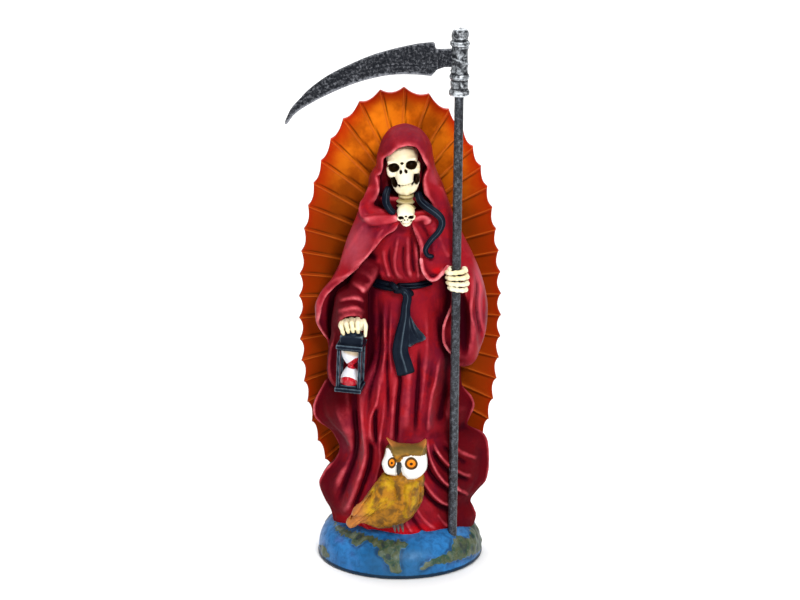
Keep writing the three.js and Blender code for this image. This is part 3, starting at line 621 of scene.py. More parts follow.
# The outlines of the lands, as (degrees round from the front, height).
LANDS = [
    [
        (-80, 19.5), (-45, 20.4), (-28, 20.4), (-16, 19.6), (2, 19.6), (7, 17.9), (0, 15.7), (0, 7.8),
        (2, 5.2), (-3, 3.2), (-6, 5.2), (-10, 10), (-16, 14.2), (-16, 16.3), (-23, 17.7), (-31, 18.9),
        (-32, 16), (-38, 15.9), (-47, 18.2), (-60, 17.9),
    ],
    [
        (92, 20), (73, 16.4), (63, 14.4), (54, 17.4), (45, 16.6), (40, 12.6), (30, 11.2), (20, 9.9),
        (15, 6.7), (16, 5.2), (24, 7), (39, 6.7), (58, 5.9), (79, 3.4), (96, 8),
    ],
    [(-79, 6.1), (-69, 8.5), (-59, 5), (-68, 2.8)],
    [(118, 19), (150, 20), (172, 16), (158, 9), (146, 5), (136, 8), (126, 14)],
    [(-172, 12), (-150, 18), (-118, 19), (-104, 14), (-116, 9), (-128, 11), (-140, 5), (-152, 7)],
]


def globe():
    """The half globe, with the measures that its paint reads: land, dark edge, painted shadow in front and
    crags.
    """
    sides, rows = ((360, 84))
    profile = [(0.01, 0), (30, 0), (44, 0), (46.0, 0.2), (46.8, 0.8), (46.9, 1.4)]
    for angle in np.linspace(0.024, math.pi / 2, rows):
        radius = BASE_RADIUS * math.cos(angle) ** (2 / GLOBE_ROUNDNESS)
        profile.append((max(radius, 0.01), BASE_HEIGHT * math.sin(angle) ** (2 / GLOBE_ROUNDNESS)))
    vertices, quads = turned(profile, sides)
    azimuth = np.degrees(np.arctan2(vertices[:, 0], -vertices[:, 1]))
    z = vertices[:, 2]
    around = 0.8
    places = SimpleNamespace(x=azimuth * around, z=z)
    coast = 0.5 * np.sin(azimuth * 0.55) * np.sin(z * 1.3 + azimuth * 0.2) + 0.3 * np.sin(azimuth * 1.3)
    land = np.full(len(vertices), -9.0)
    for outline in LANDS:
        away = region(places, [(a * around, height) for a, height in outline]) + coast
        land = np.maximum(land, -away)
    share = np.clip(0.5 + land / 1.4, 0, 1)
    radius = np.hypot(vertices[:, 0], vertices[:, 1])
    rng = np.random.default_rng(3)
    crag = np.zeros(len(vertices))
    for _ in range(26):
        way = rng.normal(size=3)
        way *= rng.uniform(0.35, 1.3) / np.linalg.norm(way)
        crag += 0.2 * np.sin(vertices @ way + rng.uniform(0, 6.3))
    rise = share * (0.45 + 0.35 * np.clip(crag, -1, 1)) * (z > 2)
    vertices[:, :2] += rise[:, None] * vertices[:, :2] / np.maximum(radius, 1)[:, None]
    edge = np.clip((2.8 - z) / 1.2, 0, 1) + spot(azimuth, z, (-78, 4.5), (5, 2.2))
    # painted shadow, a darker blue, on the lower front of the globe under the robe
    front_shadow = bell(azimuth + 3, 30) * np.clip((22 - z) / 8, 0, 1)
    ridge = rise - eased(rise, quads, 30)
    return vertices, quads, dict(land=share, edge=np.clip(edge, 0, 1), front_shadow=front_shadow, ridge=ridge)


# Halo


def halo_edge(angle):
    c, s = np.cos(angle), np.sin(angle)
    return (
        HALO_HALF_WIDTH * np.sign(s) * np.abs(s) ** (2 / HALO_ROUNDNESS),
        HALO_HALF_HEIGHT * np.sign(c) * np.abs(c) ** (2 / HALO_ROUNDNESS),
    )


# How far the ray at each share of a turn from the top is moved along the edge.
RAY_DRIFT = [
    [-0.5, 0], [-0.25, -3.4], [-0.06, 0.4], [0, 2.2], [0.035, 5.0], [0.07, 5.0], [0.13, 3], [0.25, 1.7],
    [0.5, 0],
]


def halo():
    """The dished plate: a ridge from each point of its edge to the middle, a flute and a scallop between."""
    per_ray = 12
    fine = np.linspace(0, 2 * np.pi, 4001)
    ex, ez = halo_edge(fine)
    run = np.concatenate([[0], np.cumsum(np.hypot(np.diff(ex), np.diff(ez)))])
    pitch = run[-1] / RAY_COUNT
    count = RAY_COUNT * per_ray
    # samples lie closer together at the ridges than in the flutes
    t = np.arange(per_ray) / per_ray
    t = t - 0.85 * np.sin(2 * np.pi * t) / (2 * np.pi)
    turn = np.arange(RAY_COUNT + 1) / RAY_COUNT
    turn = np.where(turn > 0.5, turn - 1, turn)
    tips = np.arange(RAY_COUNT + 1) * pitch + at(RAY_DRIFT, turn)
    place = (tips[:-1, None] + t[None, :] * np.diff(tips)[:, None]).ravel() % run[-1]
    reach = np.repeat(2.0 + 1.2 * bell(turn[:-1], 0.09), per_ray)
    ex, ez = halo_edge(np.interp(place, run, fine))
    size = np.hypot(ex, ez)
    t = np.tile(t, RAY_COUNT)
    hollow = 4 * t * (1 - t)
    shares = np.concatenate([np.linspace(0, 0.9, 28), np.linspace(0.92, 1, 12)])
    rows = []
    tint = []
    ridge = []

    def row(share, y, mark):
        """Adds a ring of points at that share of the way out, y behind the dish."""
        dip = reach * hollow * share**8
        x = ex * (share - dip / size)
        z = ez * (0.6 + 0.4 * share - dip / size)
        rows.append(np.stack([x, HALO_BEHIND - HALO_DISH * (x / HALO_HALF_WIDTH) ** 2 + y, z], 1))
        ridge.append(mark)
        tint.append((1 - share) * size * 0.6)

    for share in shares:
        spacing = pitch * share * np.clip(0.35 + 0.65 * share, 0, 1)
        crest = bell(np.minimum(t, 1 - t) * spacing, 0.42)
        groove = bell(t * spacing - 1.05, 0.42)
        grow = np.clip((share - 0.25) / 0.4, 0, 1)
        rise = crest * (0.4 + 0.35 * share) - 0.3 * groove - 0.4 * hollow * grow
        # the mark is painted highlight on the crest of each ray and painted shade in its groove
        row(share, -HALO_HALF_THICKNESS - rise, 0.9 * crest - 0.7 * groove)
    front = rows[-1]
    for angle in np.linspace(0, math.pi, 6)[1:-1]:
        rim = front.copy()
        rim[:, 1] += (1 - math.cos(angle)) * (HALO_HALF_THICKNESS - 0.2)
        rim[:, ::2] *= 1 + 0.5 * math.sin(angle) / np.hypot(rim[:, :1], rim[:, 2:])
        rows.append(rim)
        ridge.append(np.full(count, 0.2))
        tint.append(np.zeros(count))
    for share in shares[::-1]:
        seam = bell(np.minimum(t, 1 - t) * pitch * share, 0.8)
        # the mark is painted shade along each seam behind
        row(share, HALO_HALF_THICKNESS - 0.45 * seam, -0.5 * seam)
    points = np.concatenate(rows) + [0, 0, HALO_CENTRE]
    quads = banded(len(rows), count)[:, [0, 3, 2, 1]]
    _, first, again = np.unique(np.round(points, 3), axis=0, return_index=True, return_inverse=True)
    return points[first], again.reshape(-1)[quads], np.concatenate(ridge)[first], np.concatenate(tint)[first]


def flame():
    n = Nodes("flame_halo")
    cloud = n.noise(60, 4, 0.6)
    patch = n.noise(230, 4, 0.65, 0.4)
    split = n.add("ShaderNodeSeparateXYZ")
    n.link(n.place, split.inputs[0])
    height = split.outputs["Z"]
    inner = n.coats(
        (0.17, 0.026, 0.001),
        (height, 0.19, 0.255, 1, (0.62, 0.10, 0.002)),
        (cloud, 0.38, 0.7, 0.6, (0.13, 0.022, 0.001)),
    )
    glow = n.maths("MULTIPLY", n.ramp(height, 0.19, 0.25), n.ramp(cloud, 0.62, 0.38, 0.1, 0.6))
    inner = n.mix(glow, inner, (0.86, 0.24, 0.008))
    outer = n.coats((0.23, 0.022, 0.001), (height, 0.17, 0.25, 1, (0.42, 0.026, 0.001)))
    brink = n.coats((0.28, 0.012, 0.001), (height, 0.17, 0.25, 1, (0.36, 0.007, 0.001)))
    wide = n.loose("rim", patch, 6)
    outer = n.coats(outer, (wide, 2.0, 15.0, 1, inner))
    colour = n.coats(
        brink,
        (wide, -1.5, 4.0, 1, outer),
        # painted shade, dark, in the grooves beside the rays and the seams behind, and painted highlight on
        # the crests of the rays
        ("ridge", -0.08, -0.7, 0.85, (0.04, 0.006, 0.0005)),
        ("ridge", 0.3, 0.9, 0.55, (0.55, 0.11, 0.012)),
    )
    n.bump(n.noise(800, 3, 0.6), 0.00005)
    return n.finish(colour, n.ramp(patch, 0.3, 0.7, 0.34, 0.5), 0.0, (1, 0.3, 0.05), 0.35)


def oceans():
    n = Nodes("painted_globe")
    patch = n.noise(260, 5, 0.65, 0.5)
    fine = n.noise(600, 4, 0.7)
    sea = n.coats(
        (0.010, 0.125, 0.36),
        (n.noise(45, 4, 0.6), 0.35, 0.65, 1, (0.030, 0.19, 0.48)),
        (patch, 0.36, 0.7, 0.7, (0.008, 0.055, 0.16)),
        (n.noise(90, 3, 0.5), 0.52, 0.75, 0.5, (0.07, 0.08, 0.30)),
        # painted shadow on the lower front of the globe
        ("front_shadow", 0.1, 0.9, 0.62, (0.012, 0.07, 0.15)),
    )
    ground = n.coats(
        (0.024, 0.058, 0.034),
        (patch, 0.35, 0.62, 1, (0.070, 0.080, 0.030)),
        (fine, 0.48, 0.70, 0.5, (0.15, 0.17, 0.13)),
    )
    colour = n.coats(
        sea,
        (n.loose("land", patch, 0.5), 0.25, 0.6, 1, ground),
        ("ridge", 0.05, 0.3, 0.25, (0.22, 0.25, 0.20)),
        ("ridge", -0.02, -0.16, 0.6, (0.008, 0.012, 0.03)),
        (n.loose("edge", patch, 0.4), 0.3, 0.6, 0.92, (0.004, 0.008, 0.015)),
    )
    n.bump(fine, 0.00012)
    return n.finish(colour, n.ramp(patch, 0.3, 0.7, 0.32, 0.5), 0.0, (0.5, 0.75, 1), 0.3)


# Cloth

# A garment has [height, x] stations for its sides, [height, y] for its front, and the y of its flank.
MANTLE = {
    "left": [
        [-6, -36], [0, -37], [7, -38.6], [12, -41.6], [20, -44.8], [25, -44.4], [32, -40.4], [36, -36],
        [43, -33.2], [49, -35.4], [54, -38.6], [60, -46], [66, -48.2], [72, -46.8], [82, -41.4], [90, -39.9],
        [104, -40], [112, -43], [120, -45.6], [127, -46.2], [133, -44.4], [139, -39.4], [156, -31],
        [170, -26.6], [181, -22.1], [190, -18.8],
    ],
    "right": [
        [-6, 40], [2, 42.4], [6, 41.6], [12, 39.2], [18, 43.4], [23, 47.6], [28, 49], [34, 49.6], [42, 49.4],
        [48, 48.4], [52, 45.4], [56, 37.4], [62, 38.6], [68, 41], [73, 39.8], [78, 35], [88, 33.4], [95, 34],
        [112, 42], [127, 45], [139, 44], [156, 39], [170, 32.4], [190, 23.8],
    ],
    "front": [[-6, -20], [9, -16], [27, -12], [52, -9], [76, -7], [92, -5], [112, -4], [150, -6], [190, -12]],
    "flank": -2,
}
ROBE = {
    "left": [
        [-6, -36], [4, -37.4], [12, -40.6], [20, -43.4], [25, -43], [32, -39], [36, -35.4], [43, -32.6],
        [49, -34], [54, -37.4], [60, -44], [66, -46.4], [72, -45], [82, -38], [90, -28], [97, -19.6],
        [106, -16.6], [120, -15.2], [134, -15.6], [141, -16.4], [148, -17.6], [164, -18], [180, -12],
        [190, -7],
    ],
    "right": [
        [-6, 40], [2, 41.6], [6, 40.8], [12, 38.6], [18, 42.6], [23, 46.4], [34, 48.2], [42, 48], [48, 46.6],
        [52, 43], [56, 36.4], [62, 37.4], [68, 39.2], [73, 37], [78, 33.6], [90, 30], [104, 27.5], [120, 24],
        [134, 21.5], [141, 20.5], [148, 21.5], [164, 21], [180, 17], [190, 12],
    ],
    "front": [
        [-6, -33], [2, -32.6], [14, -31], [30, -28], [60, -25], [100, -22], [134, -17.5], [141, -16.5],
        [148, -18.5], [160, -19], [172, -17.5], [182, -15], [190, -12],
    ],
    "flank": -1,
}
ROBE_POWER = [[0, 1.5], [24, 1.62], [60, 1.9], [100, 2.0], [140, 2.1], [190, 2.1]]
CAPE = {
    "left": [
        [108, -41.3], [112.5, -44], [118, -46.4], [124, -47.1], [128.7, -47.0], [133, -45.4], [137, -43.2],
        [141, -39.9], [144.4, -37.2], [149.6, -34.3], [156, -32.4], [162.6, -30.4], [168.4, -28.4],
        [174, -26.1], [180, -23.6], [187, -21.2], [193, -18.6], [203, -14],
    ],
    "right": [
        [96, 40], [100, 42.6], [104, 44.8], [110, 46.8], [118, 48.2], [130, 48.4], [143, 45.8], [156, 41],
        [170, 34.2], [182, 28.4], [193, 24.4], [203, 18],
    ],
    "front": [
        [90, -19], [112, -20], [130, -22], [150, -23.5], [170, -22.5], [180, -20.5], [188, -17.5], [200, -14],
    ],
    "flank": -10,
}
HOOD = {
    "left": [
        [166, -27.6], [176, -24.2], [184, -21.4], [190, -18.9], [194, -17.6], [199, -17.0], [203, -15.0],
        [205.5, -13.3], [210, -12.8], [212.5, -12.4], [215, -11.6], [218, -10.7], [221, -9.4], [224, -7.4],
        [226.5, -5.0], [228.3, -1.8], [229.4, 1.0],
    ],
    "right": [
        [166, 34], [176, 30], [184, 27.4], [191.9, 24.7], [196.4, 23.1], [200.3, 21.2], [204.5, 19.5],
        [208.7, 18.6], [212.5, 18], [216.4, 17.4], [219.9, 16], [223.5, 13.5], [226.3, 10.6], [228, 7.4],
        [229.4, 4.4],
    ],
    "front": [
        [166, -13], [176, -18.4], [184, -20], [196, -20.6], [208, -21], [216, -20.4], [222, -18], [226, -14],
        [228.4, -9], [229.4, -5],
    ],
    "flank": 0,
}
LEFT_SLEEVE = {
    "left": [
        [79, -33], [82, -37.4], [88, -40.4], [97, -40.6], [106, -39.4], [112, -38.2], [119, -38.1],
        [127.8, -36.8], [136.5, -34.7], [141, -29], [150, -25], [156, -22],
    ],
    "right": [
        [79, -25], [82, -20.6], [90, -18.4], [101, -17.8], [118, -17.6], [126, -17.7], [132, -17.6],
        [138, -17], [146, -12], [156, -6],
    ],
    "front": [
        [79, -11], [82, -15], [90, -18.5], [101, -20.5], [112, -22.5], [119, -26], [125, -32.5], [130, -35],
        [136, -32.5], [146, -23], [156, -15],
    ],
    "flank": -10,
}
RIGHT_SLEEVE = {
    "left": [
        [92.5, 34], [94, 31], [98, 28], [106, 25.6], [111, 23.6], [117, 23.6], [124, 26.6], [132, 28],
        [142, 27], [152, 22], [160, 18],
    ],
    "right": [
        [92.5, 37.4], [95, 41], [99, 43.4], [105, 44.6], [118, 43.8], [130, 42.4], [142, 42.8], [152, 41.6],
        [160, 38],
    ],
    "front": [[92.5, -12], [96, -16], [104, -19.5], [115, -21.5], [132, -22.5], [152, -23.5], [160, -20]],
    "flank": -8,
}

ROBE_FOLDS = [
    (4.0, 3.2, 2.2, [
        (-22.8, 86), (-22, 74), (-21.1, 63.7), (-19.9, 52.9), (-19.9, 43.3), (-23.7, 31.2), (-27.7, 19.1),
        (-31.2, 10.6), (-34.4, 2),
    ]),
    (-4.2, 2.2, 2.4, [
        (-27.6, 94), (-25.7, 82), (-24.9, 72), (-24.4, 62), (-24.0, 52), (-25.2, 41), (-29.4, 29),
        (-33.6, 17), (-36.6, 8),
    ]),
    (1.5, 0.9, 0.9, [(-25.8, 81), (-25.4, 75), (-24.6, 68)]),
    (2.2, 4.6, 3.4, [(-35, 82), (-34.6, 70), (-31, 58), (-28.6, 48), (-31, 38), (-35.4, 29), (-36.4, 20)]),
    (-2.4, 1.8, 2.4, [
        (-37.8, 84), (-43, 75.4), (-44, 68), (-41, 61.4), (-34.4, 54), (-29.8, 47), (-30.4, 39.6),
        (-37, 31.4), (-40.4, 25), (-40, 16), (-36.6, 8),
    ]),
    (-2.6, 1.5, 1.7, [(-17.2, 58), (-16.4, 48), (-17.2, 38), (-20.4, 28), (-24.4, 17), (-27.4, 8)]),
    (2.6, 1.5, 1.6, [(-10.4, 95), (-11.9, 82.2), (-13.6, 73.9), (-16.3, 67.9), (-16.4, 58.4), (-14.4, 46)]),
    (-1.8, 1.0, 1.0, [(-12.6, 76), (-14.0, 68), (-13.6, 58), (-12.8, 48)]),
    (1.9, 1.2, 1.5, [
        (-8.6, 88), (-9.1, 70), (-10.3, 61.1), (-11.4, 51.5), (-10.9, 43.1), (-13.4, 32), (-17, 20),
    ]),
    (1.6, 1.2, 1.4, [(-8.6, 136), (-8.4, 114), (-8.1, 105.2), (-9.5, 96.4), (-10.7, 90.4)]),
    (-1.8, 1.2, 1.2, [(-10.8, 134), (-11, 118), (-11.2, 104), (-13, 94), (-16.6, 82), (-18.4, 70)]),
    (1.8, 1.1, 1.3, [(-12.6, 137), (-14.2, 130), (-14, 120), (-13.6, 108)]),
    (1.6, 1.1, 1.2, [(-4.6, 136), (-5.6, 112.5), (-5.9, 106.7), (-5.2, 99), (-4.4, 90)]),
    (-1.8, 1.0, 1.0, [(-6.8, 134), (-7, 116), (-7, 104), (-7.2, 94), (-6.6, 80), (-6.8, 64)]),
    (-2.4, 1.0, 1.3, [(0.1, 100), (0.1, 91.7), (0.1, 85.8), (-0.8, 77.7), (-1.6, 66), (-2.0, 56), (-3, 44)]),
    (1.2, 1.3, 1.3, [(-2.6, 92), (-3.6, 78), (-4.6, 64), (-5.2, 52)]),
    (2.6, 3.2, 4.0, [(5.8, 106), (5.2, 92), (4.6, 80), (3.6, 68), (2.6, 56)]),
    (-1.8, 1.5, 1.7, [(10.2, 110), (10.4, 96), (9.8, 82), (8.8, 68), (8.4, 54)]),
    (1.4, 2.0, 2.0, [(14.4, 134), (14.8, 118), (15, 104), (13.6, 90), (12.4, 76), (11.4, 64)]),
    (3.8, 2.8, 2.0, [
        (23, 106), (21.2, 95), (19.5, 86), (17.8, 80.7), (16.4, 71.8), (15.8, 62.9), (15.7, 55),
    ]),
    (-4.0, 2.6, 3.8, [(29.4, 102), (27, 90), (25, 78), (23, 68), (22, 60)]),
    (2.8, 1.2, 1.5, [
        (15.6, 60), (15.5, 52), (16.8, 45.5), (19.7, 38.3), (23.3, 32.2), (27.6, 27.2), (33.4, 22),
    ]),
    (2.6, 1.2, 1.5, [(17.2, 57), (19.7, 50.3), (23.7, 44.3), (27.5, 39.8), (33, 34.9), (37, 31.9), (42, 29)]),
    (1.8, 1.3, 1.5, [(27.6, 52), (33, 47.2), (37, 44.2), (41, 41.4), (45, 38)]),
    (2.8, 1.6, 1.7, [(9.4, 41), (11, 34.5), (14, 30.1), (18, 24.2), (22.6, 18.8), (27.4, 14.9), (33.6, 11)]),
    (2.4, 1.4, 1.5, [(29.4, 28), (33.6, 23.2), (37.1, 19.5), (39.6, 15)]),
    (-2.8, 1.2, 1.3, [(17.6, 50), (19.8, 44), (23.8, 38.2), (29, 33.2), (35.6, 28.6), (42, 24)]),
    (-2.8, 1.4, 1.4, [(13.2, 49), (14.6, 39.6), (18.2, 32.4), (23.2, 26.4), (29.6, 21.2), (36, 16.4)]),
    (-2.0, 1.3, 1.4, [(22.4, 52), (27.6, 46), (33, 41), (39, 36.4)]),
    (-2.8, 1.5, 1.4, [(8.8, 34), (12.6, 25.4), (18.2, 18), (24.4, 12.4), (32, 8)]),
    (-2.4, 1.8, 1.8, [(44.6, 50), (46, 42), (45.6, 32), (43.4, 24), (38.6, 17)]),
    (2.0, 1.5, 1.6, [(5.6, 32), (7.6, 22), (11, 13), (16.6, 6), (22, 1)]),
    (-1.8, 1.1, 1.1, [(4, 20), (6.4, 11), (11, 4), (15, -1)]),
    (1.6, 1.2, 1.3, [(1.4, 18), (3.6, 9), (7.6, 1)]),
    (1.4, 1.0, 1.2, [(20, 12), (24, 6), (28.6, 1)]),
    (1.6, 1.4, 1.4, [(-22, 8), (-19, 3), (-15.6, 0)]),
    (1.3, 1.2, 1.5, [(-12.4, 158), (-11.6, 151), (-8.6, 144.6)]),
    (1.3, 1.2, 1.4, [(-9.4, 164), (-8.6, 156), (-7, 150), (-5.4, 144.8)]),
    (-1.2, 0.8, 0.8, [(-6, 166), (-6, 157), (-4.6, 150), (-3, 145)]),
    (1.7, 1.2, 1.5, [(-0.2, 172), (-1.9, 164), (-2.8, 156), (-2, 150), (1.6, 144)]),
    (-1.2, 0.8, 0.8, [(2.6, 168), (1.6, 158), (2.4, 150), (4.4, 144.6)]),
    (1.4, 1.5, 1.7, [(4, 172), (4.6, 162), (4.8, 153), (6.6, 145)]),
    (-1.3, 0.8, 0.9, [(6.4, 172), (6.6, 163), (7, 154), (8.6, 145.6)]),
    (1.4, 1.1, 1.3, [(8.8, 168), (9.4, 158), (10, 150), (10.4, 144)]),
    (1.0, 1.1, 1.1, [(12.8, 152), (13.6, 144)]),
]
MANTLE_FOLDS = [
    (1.6, 2.0, 2.0, [(-42, 110), (-43.6, 122), (-41, 134)]),
    (-1.6, 1.8, 1.8, [(-39, 104), (-39.6, 118), (-37, 132)]),
]
CAPE_FOLDS = [
    (1.5, 0.9, 1.0, [
        (-2, 176.6), (-6, 173.4), (-10, 169.8), (-13.6, 165.2), (-18.6, 159), (-22.6, 153.8), (-27.2, 149.6),
        (-31, 147), (-35.4, 144.6), (-38.6, 142.4), (-42, 139.4), (-44.8, 134.6), (-46, 129), (-45.8, 122),
        (-44.4, 115),
    ]),
    (1.9, 2.2, 2.2, [(-5, 181), (-12, 170), (-17, 160.5), (-23.3, 156.2), (-29.6, 150.6)]),
    (-1.5, 1.1, 1.1, [(-3, 178), (-11.6, 168.4), (-17.4, 158.4), (-24, 151.8), (-31, 147)]),
    (2.0, 2.4, 2.4, [(-15, 184), (-24, 170), (-34, 154), (-43, 139)]),
    (-1.0, 1.6, 1.6, [(-20, 184), (-30, 166), (-39, 148)]),
    (2.4, 1.5, 1.7, [(5.6, 178), (9.6, 172.6), (12, 166.6), (13.2, 160)]),
    (-1.9, 1.2, 1.2, [(11.4, 178), (15.4, 170), (16.8, 161), (17.6, 155)]),
    (1.5, 1.8, 2.0, [(16, 178), (21.6, 170), (25, 162), (28.6, 157)]),
    (1.3, 1.8, 2.0, [(26, 180), (32, 169), (36, 160), (37, 157)]),
    (1.8, 1.2, 1.4, [
        (34.5, 160.6), (38.4, 157.4), (42, 150), (44.4, 141), (44, 131), (45, 120), (46.6, 108),
    ]),
    (-1.5, 0.8, 0.8, [(37, 155), (40, 149.7), (42, 142), (41.6, 134), (42.4, 124), (44.6, 114), (46, 106)]),
    (1.2, 1.0, 1.2, [(44.6, 146), (46.6, 134), (47, 120), (47.4, 108)]),
]
HOOD_FOLDS = [
    (2.2, 1.3, 1.3, [(-9.5, 216), (-12.2, 210), (-12.6, 207), (-15.6, 203), (-17.0, 199)]),
    (-1.6, 1.1, 1.1, [(-8.6, 215.6), (-11.6, 213.4), (-13.2, 210.4)]),
    (1.4, 1.4, 1.4, [(-15.4, 199), (-14.8, 195), (-16, 191), (-20, 187), (-22.6, 183)]),
    (-1.4, 1.0, 1.0, [(-16.4, 202), (-17.2, 197), (-18, 192)]),
    (2.0, 1.1, 1.4, [
        (11.6, 218), (14.4, 212.6), (16.6, 208.4), (18.8, 203), (19.8, 199), (21.4, 194), (24, 188.6),
        (26, 183),
    ]),
    (-1.5, 1.0, 1.0, [(14.6, 216), (17.4, 210), (20, 204), (21.8, 198.4), (24, 192)]),
    (1.4, 0.9, 0.9, [(17.2, 209), (19, 207), (18.4, 204)]),
    (0.9, 3.0, 3.0, [(8, 226), (13, 220), (15, 213)]),
    (1.2, 0.9, 0.9, [(-7, 214.6), (-4.6, 216.4), (-2, 218.6)]),
]
LEFT_SLEEVE_FOLDS = [
    (1.4, 0.9, 1.0, [
        (-36, 127), (-33.9, 130.0), (-31, 132.2), (-26.4, 133.4), (-22.4, 132.6), (-18.6, 128), (-16, 122),
    ]),
    (-1.6, 0.9, 0.9, [(-35.4, 131.4), (-31.4, 134.6), (-26.4, 136), (-21.6, 134.6), (-17.4, 129.4)]),
    (1.6, 0.9, 1.2, [(-34.8, 134.4), (-30, 137.6), (-25.5, 138.6), (-21, 136.8), (-17.4, 132)]),
    (-1.5, 0.9, 0.9, [(-33, 138.2), (-28.4, 140.8), (-23.6, 141), (-18.6, 137.6)]),
    (1.6, 1.1, 1.4, [(-30.6, 142), (-27, 144), (-22, 143.4), (-17.4, 140)]),
    (-1.2, 1.1, 1.1, [(-28, 146.6), (-22, 147.4), (-15, 144)]),
    (1.6, 1.2, 1.2, [(-37.2, 120), (-36.4, 112), (-39.0, 104), (-39.8, 94), (-38.4, 84)]),
    (-1.6, 1.2, 1.2, [(-34.6, 116), (-36, 104), (-36.8, 92), (-35, 84)]),
    (1.2, 1.2, 1.2, [(-19, 114), (-19, 100), (-20.6, 88)]),
]
RIGHT_SLEEVE_FOLDS = [
    (1.6, 1.1, 1.2, [(29.4, 138), (28, 130), (24.8, 122), (23.8, 115), (25.8, 106), (30, 98)]),
    (1.6, 1.1, 1.3, [(38.6, 151), (40.4, 144), (39.8, 134), (39.2, 126), (41.6, 118), (43, 106)]),
    (-1.5, 0.9, 0.9, [(36.4, 148), (37.6, 138), (36.8, 126), (38.4, 114), (39.4, 104)]),
    (1.2, 1.1, 1.1, [(33.6, 140), (34.2, 128), (33.4, 114), (35.6, 102)]),
]
LEFT_HEM = [
    (4, 190), (-16, 196), (-30, 186), (-52, 150), (-56, 118), (-51, 96), (-45, 101), (-41.6, 108), (-42, 115),
    (-43, 121.6), (-43.2, 126.6), (-42.2, 131.2), (-40, 135.4), (-37.6, 138.2), (-35, 140.9), (-31.2, 144),
    (-27.6, 147.4), (-22.9, 151.6), (-19.1, 156.8), (-14.1, 162.8), (-10.4, 168), (-6.4, 171.6),
    (-1.5, 175.2),
]
RIGHT_HEM = [
    (2, 190), (24, 196), (34, 188), (56, 150), (56, 99), (46, 99.6), (43.2, 106), (43.4, 114), (41.8, 122),
    (42, 132), (42.4, 141), (39.4, 151), (34.6, 157.6), (28.4, 156.6), (23.7, 151.4), (19.5, 146.9),
    (16.1, 147), (12.9, 152), (11, 158), (10.4, 165), (7.4, 173.6),
]
HOOD_OPENING = [
    (6.0, 220.8), (0.3, 220.6), (-2.4, 219.0), (-4.4, 216.4), (-6.8, 214.6), (-9.6, 213.4), (-10.9, 211.3),
    (-10.9, 209.1), (-10.2, 206.9), (-10.8, 205.0), (-13.4, 204.0), (-15.4, 202.2), (-14.1, 199.8),
    (-13.2, 197.2), (-13.2, 194.2), (-15.4, 191.8), (-18.6, 189.8), (-20.4, 187.2), (-20.4, 184), (-9, 183.4),
    (-2, 182), (6, 182), (12, 183.6), (20, 183), (24.6, 183.4), (24.8, 186.4), (22.4, 190.6), (20.6, 194.8),
    (19.4, 199.4), (18.8, 203.4), (18.0, 206.6), (16.2, 208.8), (14.0, 211), (12.1, 214), (10.9, 217.7),
    (9.4, 220.2),
]
FACE_HOLLOW = [
    (4, 220.0), (-1.6, 218), (-4.6, 215), (-8.4, 212), (-9.4, 206), (-10.8, 201), (-11, 195), (-12.6, 190),
    (-14, 186), (-6, 183), (3, 182), (11, 183.4), (18, 185.4), (16.4, 189.4), (13.6, 192.6), (12.4, 196),
    (12.4, 200), (13.6, 204), (14.8, 206.8), (12.8, 211), (10.4, 216.6), (8, 219.2),
]
HEMS = [
    (1.2, -24.4, [(11.6, 158), (12.8, 152), (16, 147.4), (19.5, 147.2), (23.4, 150.8), (26, 154)]),
    (0.9, [-16, -20, -20.5, -18, -14, -10], [
        (31.4, 136), (28.6, 130), (25.2, 122.6), (23.8, 116), (24.6, 109), (28.2, 103.4), (33.2, 100.6),
        (39, 101.8), (42.8, 107), (44.6, 114),
    ]),
]
TIE = [((-11, -19.6, 180.4), (8.4, 3.0, 2.0), (0, -0.1, 0)), ((12.2, -19.4, 179.2), (4.4, 2.6, 1.9))]
POCKETS = [((-14.2, -21, 186.8), (5.4, 6.6, 4.0), (0, 0.3, 0)), ((21, -21, 182.4), (2.6, 5, 3.2))]
BOWS = [
    (1.8, [-22, -21.6, -20.8, -19.4, -16.6, -13.4, -10.5], [
        (-2.6, 180.4), (-7, 178.9), (-12, 177.9), (-16.4, 178.2), (-19.6, 180.2), (-20.9, 183.4),
        (-20.3, 186.4),
    ]),
    (1.0, -21.4, [(8.4, 180), (11.6, 181.2), (14.6, 180.6), (16, 179), (14.2, 177.8)]),
]


def lip(space, radius, y, points, count=34):
    """The distance to a rolled edge of cloth through points seen from the front, at one depth or several."""
    away, _, share = nearest(curve(points, count), space.x, space.z)
    if isinstance(y, list):
        y = np.interp(share, np.linspace(0, 1, len(y)), y).astype(np.float32)
    return (np.hypot(away, space.y - y) - radius).astype(np.float32)


def hooded(space):
    """The hood with its opening: a lining that slopes in from the edge and a hollow behind the skull."""
    hood = column(space, **HOOD, relief=folds(space, HOOD_FOLDS), power=2.1)
    crown = space.z - 228.6 + 0.02 * (space.y + 1) ** 2
    hood = smax(hood, crown.astype(np.float32), 3)
    opening = region(space, HOOD_OPENING)
    right = np.clip((space.x - 8) / 5, 0, 1) * np.clip((210 - space.z) / 6, 0, 1)
    slope = 2.6 - 2.0 * right
    left = np.clip((-2 - space.x) / 7, 0, 1)
    lining = (space.y + 20.4 - 4.4 * left + slope * (opening + 0.6)) / np.sqrt(1 + slope**2)
    hood = smax(hood, -smax(opening, lining, 0.6), 0.8)
    hollow = smax(region(space, FACE_HOLLOW), space.y + 3, 1.0)
    return smax(hood, -hollow, 0.8), hollow


